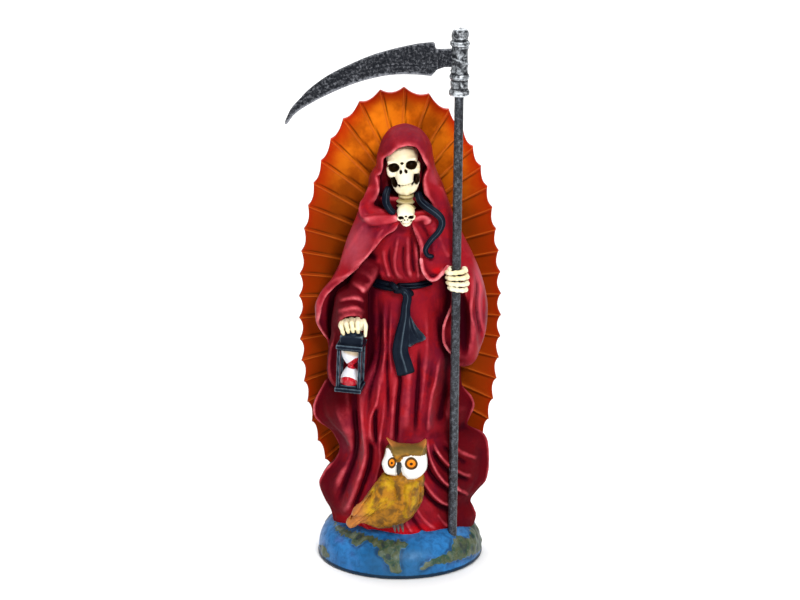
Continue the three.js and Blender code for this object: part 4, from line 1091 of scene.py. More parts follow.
def cloth():
    """The whole dress as one field, with the field of each of its garments beside it."""
    space = Space((-52, -39, -9), (54, 18, 234), 0.7)
    mantle = column(space, **MANTLE, relief=folds(space, MANTLE_FOLDS), power=2.4)
    mantle = smax(mantle, space.z - 190, 2)
    robe = column(space, **ROBE, relief=1.2 * folds(space, ROBE_FOLDS), power=at(ROBE_POWER, space.z))
    robe = smax(robe, space.z - 188, 2)
    robe = robe + 1.2 * bell(space.z - WAIST, 3.4)
    under_cape = lump(space, (-38.4, -13, 121), (5.6, 12, 23), (0, -0.08, 0))
    mantle = smax(mantle, -under_cape, 2)

    # the cape is a shell that is open in front and thickens away from its hems
    shell = column(space, **CAPE, relief=folds(space, CAPE_FOLDS))
    wall = smax(-8.5 - space.y, space.z - 150, 3)
    slant = (100 - 1.6 * space.y - space.z) / 1.9
    wall = np.where(space.x < 0, smax(wall, slant, 3), smax(wall, 100 - space.z, 3))
    area = np.minimum(smax(region(space, LEFT_HEM), slant, 3), region(space, RIGHT_HEM))
    area = np.minimum(area, wall)
    lining = 1.9 + 0.9 * np.clip(-area - 1.3, 0, 12)
    cape = smax(smax(shell, area, 1.0), -(shell + lining), 0.8)
    hood, throat = hooded(space)
    cape = smax(cape, -throat, 1.5)
    robe = smax(robe, -throat, 1.5)

    # the sleeves are hollowed where the hands come out
    sleeve = column(space, **LEFT_SLEEVE, relief=folds(space, LEFT_SLEEVE_FOLDS))
    sleeve = smax(smax(sleeve, 80 - space.z, 2.5), space.z - 156, 3)
    cuff = lump(space, (-26, -35, 123.0), (7.6, 8, 5.8))
    behind_glass = lump(space, (-28, -32, 100), (9.5, 13, 22))
    sleeve = smax(smax(sleeve, -cuff, 1.2), -behind_glass, 3)
    wing = column(space, **RIGHT_SLEEVE, relief=folds(space, RIGHT_SLEEVE_FOLDS))
    wing = smax(smax(wing, 93 - space.z, 2.5), space.z - 160, 3)
    mouth = lump(space, (34.8, -27, 119), (4.8, 13, 22), (0, -0.05, 0))
    wing = smax(wing, -mouth, 1.6)

    # the tie runs from the clasp to both sides, with a bow on each and a pocket over it
    tie = [lump(space, *shape) for shape in TIE] + [lip(space, *bow) for bow in BOWS]
    pocket = fused([lump(space, *shape) for shape in POCKETS], 1.0)
    cape = smin(smax(cape, -pocket, 1.2), fused(tie, 2.6), 0.9)
    hood = smax(hood, -pocket, 1.2)

    layers = {"robe": robe, "mantle": mantle, "cape": cape, "hood": hood, "sleeves": np.minimum(sleeve, wing)}
    blends = {"mantle": 4.0, "cape": 0.9, "hood": 1.4, "sleeves": 1.0}
    whole = robe
    for name, blend in blends.items():
        whole = smin(whole, layers[name], blend)
    for radius, y, points in HEMS:
        whole = smin(whole, lip(space, radius, y, points), 1.4)
    for side in ("left", "right"):
        rim = [(x, z) for z, x in MANTLE[side] if z < 84]
        whole = smin(whole, lip(space, 0.9, [-3, -5, -3, -6, -4, -3, -6, -3], rim, 60), 1.4)
    back = space.y - (HALO_BEHIND - 1) + HALO_DISH * (space.x / HALO_HALF_WIDTH) ** 2
    return space, layers, np.maximum(whole, back)


def crowding(field, space, points, reach):
    """How hollow the place of each point is: the share of the cube around it that is solid, 0.5 on a flat."""
    solid = (field < 0).astype(np.float32)
    half = max(1, int(round(reach / space.cell)))
    for axis in range(3):
        total = np.cumsum(solid, axis=axis)
        size = solid.shape[axis]
        high = np.minimum(np.arange(size) + half, size - 1)
        low = np.maximum(np.arange(size) - half - 1, -1)
        part = np.take(total, high, axis=axis)
        start = np.take(total, np.maximum(low, 0), axis=axis)
        shape = [1, 1, 1]
        shape[axis] = size
        start = np.where((low >= 0).reshape(shape), start, 0)
        solid = (part - start) / (high - low).reshape(shape)
    return solid[cells(space, points, field.shape)]


def dress():
    """Skins the dress and parts it into its garments, each a piece with the shared paint."""
    space, layers, whole = cloth()
    points, faces = skin(whole, space)
    points = eased(points, faces, 1)
    ridge = ridges(points, faces, 1.0, space.cell) + 0.5 * ridges(points, faces, 3.0, space.cell)
    ridge = 1.15 * eased(ridge, faces, 7)
    # hollow is how enclosed each place is, and the paint turns it near black as painted shade
    hollow = 0.5 * crowding(whole, space, points, 3.5) + 0.5 * crowding(whole, space, points, 8)
    hollow = eased(hollow, faces, 2)
    x, y, z = points.T
    where = cells(space, points, whole.shape)
    near = np.stack([layer[where] for layer in layers.values()], 1).argmin(axis=1)

    # fresh marks the brightest red, at the hem, the tie, the cuff and a patch by the fist
    hem = bell(np.maximum(z - 2, 0), 5) * (x < 30)
    tie = spot(x, z, (1, 180), (14, 5), 4)
    cuff = spot(x, z, (-26, 135), (9, 9), 4)
    fresh = np.maximum(np.clip(hem + 0.45 * tie + 0.2 * cuff, 0, 1), spot(x, z, (20.3, 151.4), (3.4, 2.2)))

    # shade is painted shade where it is positive, darker paint where shadow falls on the sleeves, the sides,
    # the bodice, the throat and the hood, and painted highlight where it is negative, paler paint on the lit
    # shoulder, band and facet
    arm = spot(x, z, (-28, 108), (11, 34), 4)
    sides = np.clip((np.abs(x + 2) - 20) / 18, 0, 1) * np.clip((100 - z) / 14, 0, 1)
    bodice = spot(x, z, (1, 158), (16, 18), 4)
    flank = np.clip((x - 12) / 10, 0, 1) * np.clip((142 - z) / 10, 0, 1)
    crown = np.clip((z - 204) / 10, 0, 1)
    gap = spot(x, z, (35.6, 120), (3.4, 20))
    bow = spot(x, z, (13, 179.4), (5, 3))
    inner = eased(((near == list(layers).index("sleeves")) & (x < 0)).astype(float), faces, 6)
    throat = spot(x, z, (3, 190), (17, 7), 4) * np.clip((y + 18) / 3, 0, 1)
    shoulder = spot(x, z, (-23, 162), (13, 17)) * np.clip((6 - y) / 10, 0, 1)
    band = spot(x, z, (43.4, 134), (3.6, 26))
    facet = spot(x, z, (19.5, 203), (4.5, 13))
    shade = 1.3 * arm + 0.95 * sides + 0.4 * bodice + 0.45 * flank + 0.45 * crown
    shade = shade + 0.9 * gap + 0.8 * bow + 0.8 * inner + 1.6 * throat
    shade = shade - 0.6 * shoulder * (1 - inner) - 1.2 * band - 0.5 * facet
    measures = {"ridge": ridge, "hollow": hollow, "fresh": fresh, "shade": shade}
    for i, name in enumerate(layers):
        mine = faces[near[faces[:, 0]] == i]
        used, again = np.unique(mine, return_inverse=True)
        worn = {key: values[used] for key, values in measures.items()}
        piece(name, points[used], again.reshape(mine.shape), CRIMSON, **worn)


# Bones

# The skull's forms, in shares of its width: a centre and radii, and for a hollow its tilt.
SKULL_FLESH = [
    ((0, 0.12, 0.22), (0.47, 0.56, 0.43)), ((0, -0.24, 0.16), (0.43, 0.22, 0.26)),
    ((0, -0.28, -0.27), (0.27, 0.24, 0.29)), ((0, -0.42, 0.02), (0.06, 0.1, 0.2)),
    ((0, -0.31, -0.42), (0.26, 0.2, 0.12)),
]
SKULL_PAIRS = [
    ((0.25, -0.375, 0.23), (0.17, 0.09, 0.07)),
    ((0.36, -0.26, -0.12), (0.125, 0.15, 0.14)),
    ((0.44, -0.1, -0.02), (0.06, 0.2, 0.08)),
]
SKULL_HOLLOWS = [
    ((0.255, -0.52, 0.06), (0.168, 0.36, 0.152), 0.12),
    ((0.075, -0.5, -0.085), (0.04, 0.14, 0.066), -0.4),
    ((0.33, -0.40, -0.40), (0.095, 0.30, 0.17), 0.16),
]
SKULL_JAW = [(0.38, -0.04, -0.28), (0.34, -0.16, -0.48), (0.21, -0.38, -0.66), (0, -0.46, -0.7)]
NECK_BONES = [(3.3, 190.8, 4.3, 0.0), (3.0, 187.7, 5.2, 0.05), (3.5, 184.6, 5.6, 0.12), (3.4, 181.6, 5.4, 0)]


def skull(name, centre, width, turn, cell, forehead=1.0, jaw=1.0, gaunt=1.0):
    """A skull of that width across the cheekbones, looking along -Y before it is turned.

    The forehead and the jaw scale its heights over and under the eyes, and gaunt scales its cheek hollows.
    """
    reach = 0.95 * width
    space = Space([c - reach for c in centre], [c + reach for c in centre], cell)
    own = Local(space, centre, turn, width)
    own.z = np.where(own.z > 0, own.z / forehead, own.z / jaw)
    own.x = own.x / (1 + (1 - jaw) * np.clip(own.z, -0.8, 0))
    bone = fused([lump(own, *one) for one in SKULL_FLESH], 0.08)
    for (x, y, z), radii in SKULL_PAIRS:
        for side in (1, -1):
            bone = smin(bone, lump(own, (side * x, y, z), radii), 0.06)
    for side in (1, -1):
        branch = [(side * x, y, z) for x, y, z in SKULL_JAW]
        bone = smin(bone, chain(own, branch, (0.055, 0.07, 0.085, 0.09)), 0.05)
    bone = smin(bone, lump(own, (0, -0.38, -0.61), (0.22, 0.14, 0.11)), 0.04)
    lips = bell(own.z + 0.50 - 0.6 * own.x**2, 0.022) * (own.y < -0.2) * (np.abs(own.x) < 0.24)
    teeth = bell(np.sin(own.x * 36), 0.35) * (np.abs(own.z + 0.5) < 0.1) * (own.y < -0.28) * 0.012
    notch = lump(own, (0, -0.5, 0.17), (0.05, 0.12, 0.035))
    bone = bone + 0.035 * lips + teeth
    hollows = [notch]
    shadows = [notch]
    for (x, y, z), (rx, ry, rz), tilt in SKULL_HOLLOWS:
        grow = gaunt if z < -0.3 else jaw**0.25
        for side in (1, -1):
            lean = (0, side * tilt, 0)
            hollows.append(lump(own, (side * x, y, z), (rx * grow, ry, rz * grow), lean))
            shadows.append(lump(own, (side * x, y + ry, z), (rx * grow, 2 * ry, rz * grow), lean))
    bone = smax(bone, -np.minimum.reduce(hollows), 0.025)
    points, faces = skin(bone * width, space)
    points = eased(points, faces, 1)
    where = cells(space, points, bone.shape)
    shadow = np.minimum.reduce(shadows)[where]
    # painted shadow in the hollows of the skull and along the line of the mouth
    stain = bell(np.maximum(shadow + 0.01, 0) * width, 0.32) + 0.3 * lips[where]
    stain = np.clip(eased(stain, faces, 1), 0, 1)
    piece(name, points, faces, BONE, ridge=ridges(points, faces, 0.06 * width, cell), stain=stain)


def vertebrae():
    """The neck: four bones round a core."""
    space = Space((-5, -19, 176), (12, 2, 200), 0.3)
    bones = [lump(space, (x, -10.5, z), (r, 5.6, 1.7), (0, tilt, 0)) for x, z, r, tilt in NECK_BONES]
    core = lump(space, (3.2, -9, 186), (4.4, 4.8, 11))
    modelled("neck", smin(fused(bones, 0.4), core, 0.6), space, NECK, 0.9)


def from_scythe(points):
    """Points of the scythe's own frame, whose foot stands in the floor of its hole in the globe."""
    foot = dome_height(math.hypot(*SHAFT_FOOT)) - FOOT_HOLE_DEPTH
    return np.array(points) @ rotation(SHAFT_LEAN).T + [*SHAFT_FOOT, foot]


# Each finger round the rod has its level, size, shift and lean.
FINGERS = [(5.1, 0.97, -0.5, 0.10), (1.9, 1.03, 0.0, 0.02), (-1.4, 1.0, 0.2, -0.05), (-4.5, 0.84, 0.3, -0.12)]


def fist():
    """The hand round the rod: four bent fingers, a thumb, a palm and an arm, with room for the rod."""
    z = GRIP_HEIGHT
    x, y, _ = from_scythe([(0, 0, z)])[0]
    space = Space((x - 10, y - 10, z - 12), (x + 14, y + 22, z + 14), 0.34)
    bend = [(2.6, 5), (5.4, 2), (5.5, -1.2), (3.8, -3.6), (0.2, -4.3), (-3.4, -3.6), (-4.6, -1), (-2.8, 2.8)]
    fingers = []
    for level, size, shift, lean in FINGERS:
        points = [(x + size * dx + shift, y + dy, z + level + lean * dx) for dx, dy in bend]
        bones = chain(space, points, (1.3, 1.5, 1.05, 1.4, 1.0, 1.35, 1.05, 0.9), 14)
        for k, r in ((2, 1.55), (4, 1.45), (6, 1.25)):
            bones = smin(bones, lump(space, points[k], (1.1 * r, r, r)), 0.35)
        fingers.append(bones)
    thumb = [(x + 1, y + 4, z + 5.2), (x - 3.6, y + 1.4, z + 6.2), (x - 3.4, y - 1.8, z + 6.4)]
    arm = [(x + 2.4, y + 5, z), (x + 5, y + 10, z - 2), (36, -6, 139)]
    palm = smin(lump(space, (x + 1.2, y + 5.2, z), (4.8, 3.0, 6.4)), chain(space, arm, (3.2, 3, 3), 6), 1.5)
    hand = smin(fused(fingers, 0.1), chain(space, thumb, (1.3, 1.3, 1.0), 6), 0.2)
    hand = smin(hand, palm, 0.3)
    rod = np.hypot(space.x - x, space.y - y) - SHAFT_RADIUS - SHAFT_PLAY
    modelled("scythe_hand", np.maximum(hand, -rod), space, BONE)


# Each finger over the hourglass has its knuckle, the lean of its tip, its length and its girth.
GLASS_FINGERS = [
    (-32.0, 123.2, 1.7, 5.2, 1.05), (-29.2, 124.8, 1.5, 6.0, 1.15), (-26.3, 125.6, 1.0, 6.6, 1.2),
    (-23.0, 125.4, 0.1, 5.8, 1.35),
]


def glass_hand():
    """The hand over the hourglass: four fingers that hang in front, a thumb and a palm."""
    space = Space((-38, -41, 110), (-13, -22, 132), 0.31)
    fingers = []
    for x, z, lean, length, girth in GLASS_FINGERS:
        tip = [(x + 0.5 * lean, -37.2, z - 0.5 * length), (x + lean, -36, z - length)]
        points = [(x - 0.2, -30, z + 0.8), (x, -35.2, z - 0.4), *tip]
        bones = chain(space, points, (girth, 1.1 * girth, 0.95 * girth, 0.7 * girth), 9)
        bones = smin(bones, lump(space, points[1], (1.15 * girth, 1.2 * girth, 1.2 * girth)), 0.3)
        bones = smin(bones, lump(space, points[2], (1.1 * girth, 1.1 * girth, 1.05 * girth)), 0.3)
        fingers.append(bones)
    thumb = chain(space, [(-19.8, -30, 125), (-18.7, -34.4, 122.8), (-19.0, -35.2, 118)], (1.3, 1.2, 0.9), 7)
    palm = lump(space, (-26, -30.4, 122.6), (7.8, 4.2, 4.2))
    hand = smin(smin(fused(fingers, 0.1), thumb, 0.2), palm, 0.3)
    modelled("glass_hand", hand, space, BONE)


# Belt, sash and cord


def waist_line(out, level, from_angle, to_angle):
    """A line round the robe at the waist, held out from it."""
    x0 = float(at(ROBE["left"], WAIST))
    x1 = float(at(ROBE["right"], WAIST))
    depth = ROBE["flank"] - float(at(ROBE["front"], WAIST))
    power = 2 / CLOTH_ROUNDNESS
    line = []
    for a in np.linspace(from_angle, to_angle, 40):
        c, s = -math.cos(a), math.sin(a)
        x = (x0 + x1) / 2 + ((x1 - x0) / 2 + out) * math.copysign(abs(c) ** power, c)
        y = ROBE["flank"] - (depth + out) * math.copysign(abs(s) ** power, s)
        line.append((x, y, level + 0.5 * math.sin(3 * a)))
    return line


# Each turn of the belt has its line round the waist, its widths and its depths.
BELT_TURNS = [
    (0.1, 142.0, 0.05, 1.35, (2.6, 2.8), (3.4, 3.4)),
    (0.3, 139.6, 0.05, 1.4, (2.6, 2.6), (2.8, 2.8)),
    (0.0, 142.3, 1.4, 3.1, (2.2, 2.0), (2.0, 1.8)),
    (0.0, 140.5, 1.4, 3.1, (2.2, 2.0), (2.0, 1.6)),
]
KNOT = [(-5.6, -18.4, 143.2), (-3.6, -21, 142.2), (-1.2, -21.6, 140.6), (-1.6, -19, 138.4)]
LOOP = [(-3.4, -19.4, 139), (-1, -21.8, 139.6), (2.4, -22.2, 140.0), (5.6, -21, 138.6), (6.6, -20, 136.4)]
SASH = [
    (-1, -20, 141.4), (2, -22.4, 140), (4, -23, 136.6), (3.2, -23.2, 131), (2.9, -23.4, 125.6),
    (1.9, -23.6, 119.5), (0.8, -24, 112.6), (0.2, -24.2, 105.4), (2, -24.6, 98.4), (3.6, -24.8, 92.2),
]
SASH_END = [
    (4.2, 131), (5.8, 126), (9.4, 119.6), (13.9, 114.2), (13.4, 111.9), (8.9, 110.2), (4.6, 108.4),
    (3.8, 116),
]
LEFT_CORD = [
    (-6.2, -11, 196), (-7.6, -15.6, 192), (-7.4, -18.6, 188.4), (-5.6, -20.4, 185.4), (-2.8, -20.8, 182.6),
]
RIGHT_CORD = [
    (9.6, -12, 193.4), (11.0, -17, 189.8), (13.6, -20.2, 187.6), (16.8, -21.8, 185.6), (20.0, -22.6, 183.4),
    (22.4, -23.2, 180.7), (22.8, -23.6, 177.4), (20.9, -24, 173.4), (17.5, -24.2, 169.7), (14.8, -24.6, 166),
    (13.9, -24.9, 163.2), (15.2, -25.1, 160.6), (18.6, -25.2, 160),
]


def corded(name, parts):
    """A piece of swept parts in the dark paint of the belt."""
    vertices, quads = merged(parts)
    piece(name, vertices, quads, SLATE, ridge=ridges(vertices, quads, 0.9, 0.6))


def belt():
    """The belt's four strands with their knot and loop, the sash and the flap at its side."""
    parts = [swept(waist_line(*line), width, depth, 50, 14, (0, 0, 1)) for *line, width, depth in BELT_TURNS]
    parts.append(swept(KNOT, (3.4, 4, 3), (2.6, 3), 24, 16))
    parts.append(swept(LOOP, (2.6, 3.4, 3.0), (2.6, 2.6), 30, 16))
    widths = (2.8, 4.2, 5.0, 5.2, 6.2, 7.8, 8.8, 9.6, 10.2)
    parts.append(swept(SASH, widths, (2.4, 2.8, 3.0, 3.0, 2.6), 90, 40, groove=0.4))
    corded("belt_and_sash", parts)
    space = Space((1, -27, 103), (17, -19, 133), 0.3)
    flap = pillow(space, SASH_END, -23.2, 1.3, 1.6)
    flap = smax(flap, -lip(space, 0.5, -24.6, [(5.4, 127), (7, 119), (9.8, 113.4)]), 0.4)
    modelled("sash_end", flap, space, SLATE)


def cord():
    """The cord that comes out of the hood on both sides of the neck."""
    left = swept(LEFT_CORD, (3.6, 4.4, 4.2, 3.2), (2.6, 2.8, 2.4), 50, 30, groove=0.3)
    widths = (4.0, 4.8, 4.6, 4.0, 3.6, 3.2, 2.8, 2.4)
    right = swept(RIGHT_CORD, widths, (2.8, 3.2, 3.0, 2.8, 2.2), 120, 30, groove=0.3)
    corded("neck_cord", [left, right])


# Hourglass


def hourglass():
    """The hourglass: a square frame with four posts and a block on top, and two bulbs with sand in them."""
    turn = (0.06, 0.04, -0.17)
    centre = (-27.0, -32.6, 100.4)
    space = Space((-42, -46, 78), (-12, -18, 124), 0.36)
    own = Local(space, centre, turn)
    size, height = 14.8, 27.2
    top = height / 2
    corner = size / 2 - 1.5
    parts = [block(own, (0, 0, side * (top - 1.2)), (size, size, 2.4), 0.35) for side in (1, -1)]
    parts += [block(own, (0, 0, side * (top - 2.8)), (size - 3, size - 3, 1.6), 0.3) for side in (1, -1)]
    for sx in (1, -1):
        parts += [block(own, (sx * corner, sy * corner, 0), (1.7, 1.7, height - 2), 0.3) for sy in (1, -1)]
    parts.append(block(own, (0.6, 0, top + 2.4), (12.8, 10, 5.4), 0.9))
    parts.append(lump(own, (0, 0, top + 4.2), (6.2, 5, 3.6)))
    modelled("hourglass_frame", fused(parts, 0.35), space, SLATE)

    inside = top - 2.4
    heights = np.linspace(-inside - 0.3, inside + 0.3, 60)
    swell = np.sin((np.pi / 2) * np.minimum(1, np.abs(heights / inside) * 1.3)) ** 0.85
    wall = [(1.3 + 4.1 * w, h) for h, w in zip(heights, swell)]
    profile = [(0.01, heights[0]), *wall, (0.01, heights[-1])]
    vertices, quads = turned(profile, 48)
    x, _, z = vertices.T
    wedge = 3.6 - np.abs(z - 0.35 * (x + 1.5) - 0.6) + 0.55 * (x - 2.2)
    upper = np.clip(wedge / 0.5, 0, 1) * (np.abs(z) < 6)
    heap = -z - 4.9 - 0.10 * x - 0.10 * x**2
    lower = np.clip(heap / 0.5, 0, 1)
    cap = np.clip((z - 6.6 + 0.3 * x) / 2.5, 0, 1)
    placed = vertices @ rotation(turn).T + centre
    piece("hourglass_bulbs", placed, quads, glass_paint(), sand=upper + lower, cap=cap)


def glass_paint():
    n = Nodes("painted_bulbs")
    patch = n.noise(320, 4, 0.6)
    red = n.coats((0.50, 0.006, 0.018), (patch, 0.35, 0.7, 1, (0.32, 0.003, 0.012)))
    colour = n.coats(
        (0.82, 0.82, 0.86),
        (patch, 0.35, 0.7, 1, (0.66, 0.66, 0.74)),
        ("cap", 0.0, 1.0, 0.85, (0.42, 0.30, 0.14)),
        ("sand", 0.35, 0.65, 1, red),
    )
    n.bump(n.noise(500, 3), 0.00005)
    return n.finish(colour, n.ramp(patch, 0.3, 0.7, 0.15, 0.28))


# Owl


OWL_HEAD = [
    (-7.6, 59.3), (-5.6, 55.6), (-7.6, 53.8), (-9.3, 47.5), (-10, 44.5), (-8.7, 40.2), (-6.5, 38.2),
    (2, 36.6), (9.4, 36.9), (12.9, 39), (15, 43), (14.9, 49.5), (14.6, 53.6), (14.5, 58.1), (11.2, 56.0),
    (7.5, 55.0), (3.8, 55.2), (-1, 55.6), (-5, 57.4),
]
OWL_CAP = [
    (-8.6, 56), (-5.2, 53.8), (-1.6, 49.0), (0.2, 51), (3.8, 51.9), (11.2, 51.5), (16, 51), (17, 60), (4, 64),
    (-9, 64),
]
OWL_DISCS = [
    [
        (-7.8, 54.2), (-8.0, 51.5), (-9.4, 47.8), (-10, 45.5), (-8.7, 41.2), (-6.5, 39.6), (-1.7, 39.6),
        (-1, 44.3), (-1.3, 48.2), (-4.6, 52.9),
    ],
    [
        (0.2, 49.8), (3.8, 51.6), (11.2, 51.8), (14.5, 50.6), (15, 43.9), (12.7, 39.6), (9.4, 37.5),
        (5, 36.9), (2, 39.1), (-0.4, 42.4), (-1, 47.1),
    ],
]
# The middle of each eye and its half width and half height.
OWL_EYES = [(-4.5, -43.4, 47.6, 2.2, 2.9), (6.2, -43.9, 47.2, 3.4, 3.2)]
OWL_BODY = [
    (-8.7, 39.4), (-13.9, 32.3), (-18.4, 26), (-21, 22.1), (-25.5, 18.1), (-27, 14.2), (-30, 9.8),
    (-28.8, 6.9), (-26, 6.7), (-21.1, 9.4), (-16.6, 7.8), (-12.5, 6.3), (-7.3, 6.3), (-2.8, 7.1), (1, 8.6),
    (4.4, 10.6), (7.9, 14.2), (10.9, 18.9), (12.9, 23.7), (13.3, 30), (12.8, 38.2), (2, 42),
]
OWL_WINGS = [
    [
        (-9.1, 39.3), (-13.9, 33.8), (-18.4, 27.5), (-21, 23.6), (-25.4, 19.2), (-26.6, 15.7), (-21, 15.3),
        (-15.4, 16.1), (-11, 17.7), (-5.8, 20.8), (-1.7, 25.1), (-1, 28.3), (-1.7, 33), (-4.3, 36.9),
    ],
    [
        (2, 35.7), (1.3, 29.5), (2, 23.6), (1.3, 18.8), (2.4, 14.5), (6.1, 14.9), (8.3, 19.6), (9.8, 25.5),
        (10.2, 31.4), (9.4, 35.7),
    ],
]
OWL_PLUMES = [
    (-0.9, 0.5, 0.5, [(-12, 35), (-17, 27), (-22, 20), (-26, 14), (-29, 9)]),
    (-0.7, 0.5, 0.5, [(-9, 30), (-14, 22), (-20, 15), (-26, 9)]),
    (-0.7, 0.5, 0.5, [(-4, 31), (-9, 24), (-14, 18.4), (-19, 13), (-23, 9.6)]),
    (-0.6, 0.5, 0.5, [(-14, 14), (-10, 10), (-7, 7)]),
    (-0.8, 0.5, 0.5, [(10.7, 36), (11.2, 29), (10.4, 22), (8.6, 16)]),
    (0.6, 0.9, 0.9, [(6, 34), (5.6, 27), (5, 20), (4.4, 16)]),
    (-0.6, 0.6, 0.6, [(0, 36), (-0.4, 28), (-0.8, 20), (-2, 12)]),
    (0.6, 1.2, 1.2, [(-8, 36), (-11, 30), (-13, 24), (-17, 19)]),
    (0.6, 1.0, 1.0, [(-4, 34), (-5, 29), (-8, 25)]),
]


def owl():
    """The owl in cushioned forms: body, wings, head with ear tufts, two discs with rimmed eyes and a beak."""
    space = Space((-34, -50, 1), (19, -20, 63), 0.42)
    x, z = space.x, space.z
    down = 0.16 * np.sin((z - 0.6 * x) * 1.5 + 0.8 * np.sin(x * 1.3)) * np.sin(x * 1.1 + z * 0.5)
    left_wing = pillow(space, OWL_WINGS[0], -39.0, 5.6, 4.0)
    right_wing = pillow(space, OWL_WINGS[1], -38.4, 5.6, 3.4)
    wings = smin(left_wing, right_wing, 0.4)
    body = smin(pillow(space, OWL_BODY, -34, 8.0, 9.5), wings, 0.4) - 1.3 * folds(space, OWL_PLUMES) - down
    head = pillow(space, OWL_HEAD, -34.4, 8.0, 6.5) - 0.6 * down
    cap = smax(pillow(space, OWL_HEAD, -34.8, 9.0, 5.0), region(space, OWL_CAP), 0.8)
    left_disc = pillow(space, OWL_DISCS[0], -38.6, 5.6, 4.4)
    right_disc = pillow(space, OWL_DISCS[1], -38.6, 5.8, 5.6)
    discs = smin(left_disc, right_disc, 0.5)
    for x, y, z, rx, rz in OWL_EYES:
        discs = smax(discs, -lump(space, (x, y - 0.4, z), (rx, 1.3, rz)), 0.4)
        discs = smin(discs, lump(space, (x, y + 1.4, z), (0.74 * rx, 1.7, 0.74 * rz)), 0.2)
    beak = chain(space, [(-0.5, -42.8, 46.4), (-0.7, -45.2, 43.6), (-1.0, -44.4, 40.8)], (1.1, 1.4, 0.4), 6)
    head = smin(smin(smin(head, discs, 0.4), cap, 0.4), beak, 0.3)
    toes = [[(x, -38, 9.4), (x + 0.4, -40.4, 8.4), (x + 0.8, -41.4, 6.4)] for x in (-3.4, -1.4, 1.0)]
    claws = fused([chain(space, toe, (1.0, 0.9, 0.4), 5) for toe in toes], 0.3)
    whole = smin(smin(body, head, 0.8), claws, 0.4)
    points, faces = skin(whole, space)
    points = eased(points, faces, 1)
    where = cells(space, points, whole.shape)
    x, y, z = points.T
    eye = np.full(len(points), 9.0)
    for ex, _, ez, rx, rz in OWL_EYES:
        eye = np.minimum(eye, np.hypot((x - ex) / rx, (z - ez) / rz) + 9 * (y > -38))
    under = (discs[where] < cap[where] + 0.2) * np.clip((-36 - y) / 1.5, 0, 1)
    disc = np.clip(1.3 - discs[where] / 0.35, 0, 1) * under
    tail = np.clip((-15 - x) / 9, 0, 1) + np.clip((z - 54.5) / 3, 0, 1)
    measures = {
        "ridge": ridges(points, faces, 0.8, space.cell),
        "disc": eased(disc, faces, 1),
        "eye": eye,
        "beak": np.clip(1.4 - beak[where] * 2.2, 0, 1),
        "foot": np.clip(1 - claws[where] / 0.4, 0, 1),
        "brow": np.clip((z - 51.5 + 0.25 * np.abs(x - 3)) / 2.5, 0, 1) * (z > 45),
        "warm": np.clip(tail, 0, 1),
        "wing": np.clip(1 - wings[where] / 0.6, 0, 1) * np.clip((x + 24) / 6, 0, 1),
    }
    piece("owl", points, faces, feathers(), **measures)


def feathers():
    n = Nodes("owl_paint")
    patch = n.noise(170, 4, 0.6, 0.6)
    fine = n.noise(800, 4, 0.7)
    broken = n.loose("ridge", fine, 0.3)
    bright = n.maths("MULTIPLY", n.ramp(n.noise(120, 3), 0.42, 0.6), "wing")
    colour = n.coats((0.38, 0.155, 0.010), (patch, 0.36, 0.62, 1, (0.12, 0.054, 0.010)))
    colour = n.mix(n.maths("MULTIPLY", bright, 0.75), colour, (0.52, 0.30, 0.006))
    colour = n.coats(
        colour,
        ("brow", 0.1, 0.9, 0.8, (0.13, 0.085, 0.020)),
        ("warm", 0.1, 0.9, 0.7, (0.58, 0.20, 0.05)),
        (broken, -0.04, -0.3, 0.88, (0.055, 0.025, 0.006)),
        (broken, 0.10, 0.36, 0.6, (0.66, 0.34, 0.035)),
        ("disc", 0.35, 0.65, 1, (0.86, 0.85, 0.82)),
        ("eye", 1.14, 1.0, 1, (0.055, 0.022, 0.005)),
        ("eye", 0.74, 0.64, 1, (0.80, 0.22, 0.008)),
        ("eye", 0.32, 0.24, 1, (0.03, 0.01, 0.004)),
        ("beak", 0.35, 0.6, 1, (0.02, 0.025, 0.03)),
        ("foot", 0.3, 0.7, 0.9, (0.06, 0.06, 0.07)),
    )
    n.bump(fine, 0.00012)
    return n.finish(colour, n.ramp(patch, 0.3, 0.7, 0.35, 0.55), 0.0, (1, 0.7, 0.3), 0.3)


# Scythe


def gunmetal(name, rub_and_highlight, share, low, high, grain, scale=430, specular=0.5):
    """Dark gunmetal paint, rubbed with silver from the low to the high measure of what stands out; on the
    socket the silver also stands for painted highlights.
    """
    n = Nodes(name)
    patch = n.noise(scale, 5, 0.7, 0.5)
    fine = n.noise(1100, 4, 0.7, 0.2)
    colour = n.coats(
        (0.006, 0.007, 0.010),
        (fine, 0.4, 0.7, 1, (0.024, 0.026, 0.032)),
        (n.loose("ridge", patch, 0.8), low, high, share, rub_and_highlight),
    )
    n.bump(fine, grain)
    return n.finish(colour, n.ramp(patch, 0.3, 0.7, 0.28, 0.5), 0.5, (1, 1, 1), specular)


def shaft():
    """The rod, a little rough all over, standing just clear of the floor of its hole."""
    radius = SHAFT_RADIUS - 0.03
    end = SHAFT_PLAY + SHAFT_LENGTH
    heights = np.linspace(SHAFT_PLAY, end, 420)
    profile = [(0.01, SHAFT_PLAY)] + [(radius, height) for height in heights] + [(0.01, end)]
    vertices, quads = turned(profile, 40)
    rng = np.random.default_rng(7)
    angle = np.arctan2(vertices[:, 1], vertices[:, 0])
    rough = np.zeros(len(vertices))
    for _ in range(60):
        waves = rng.uniform(-2.2, 2.2)
        turns = rng.integers(-5, 6)
        phase = rng.uniform(0, 6.3)
        rough += 0.18 * np.sin(vertices[:, 2] * waves + turns * angle + phase)
    vertices[:, :2] *= (1 + 0.012 * rough)[:, None]
    metal = gunmetal("brushed_rod", (0.16, 0.18, 0.21), 0.9, -0.07, 0.22, 0.00006, 1300)
    piece("shaft", from_scythe(vertices), quads, metal, "scythe_shaft", "dark_rod", 0, ridge=0.035 * rough)


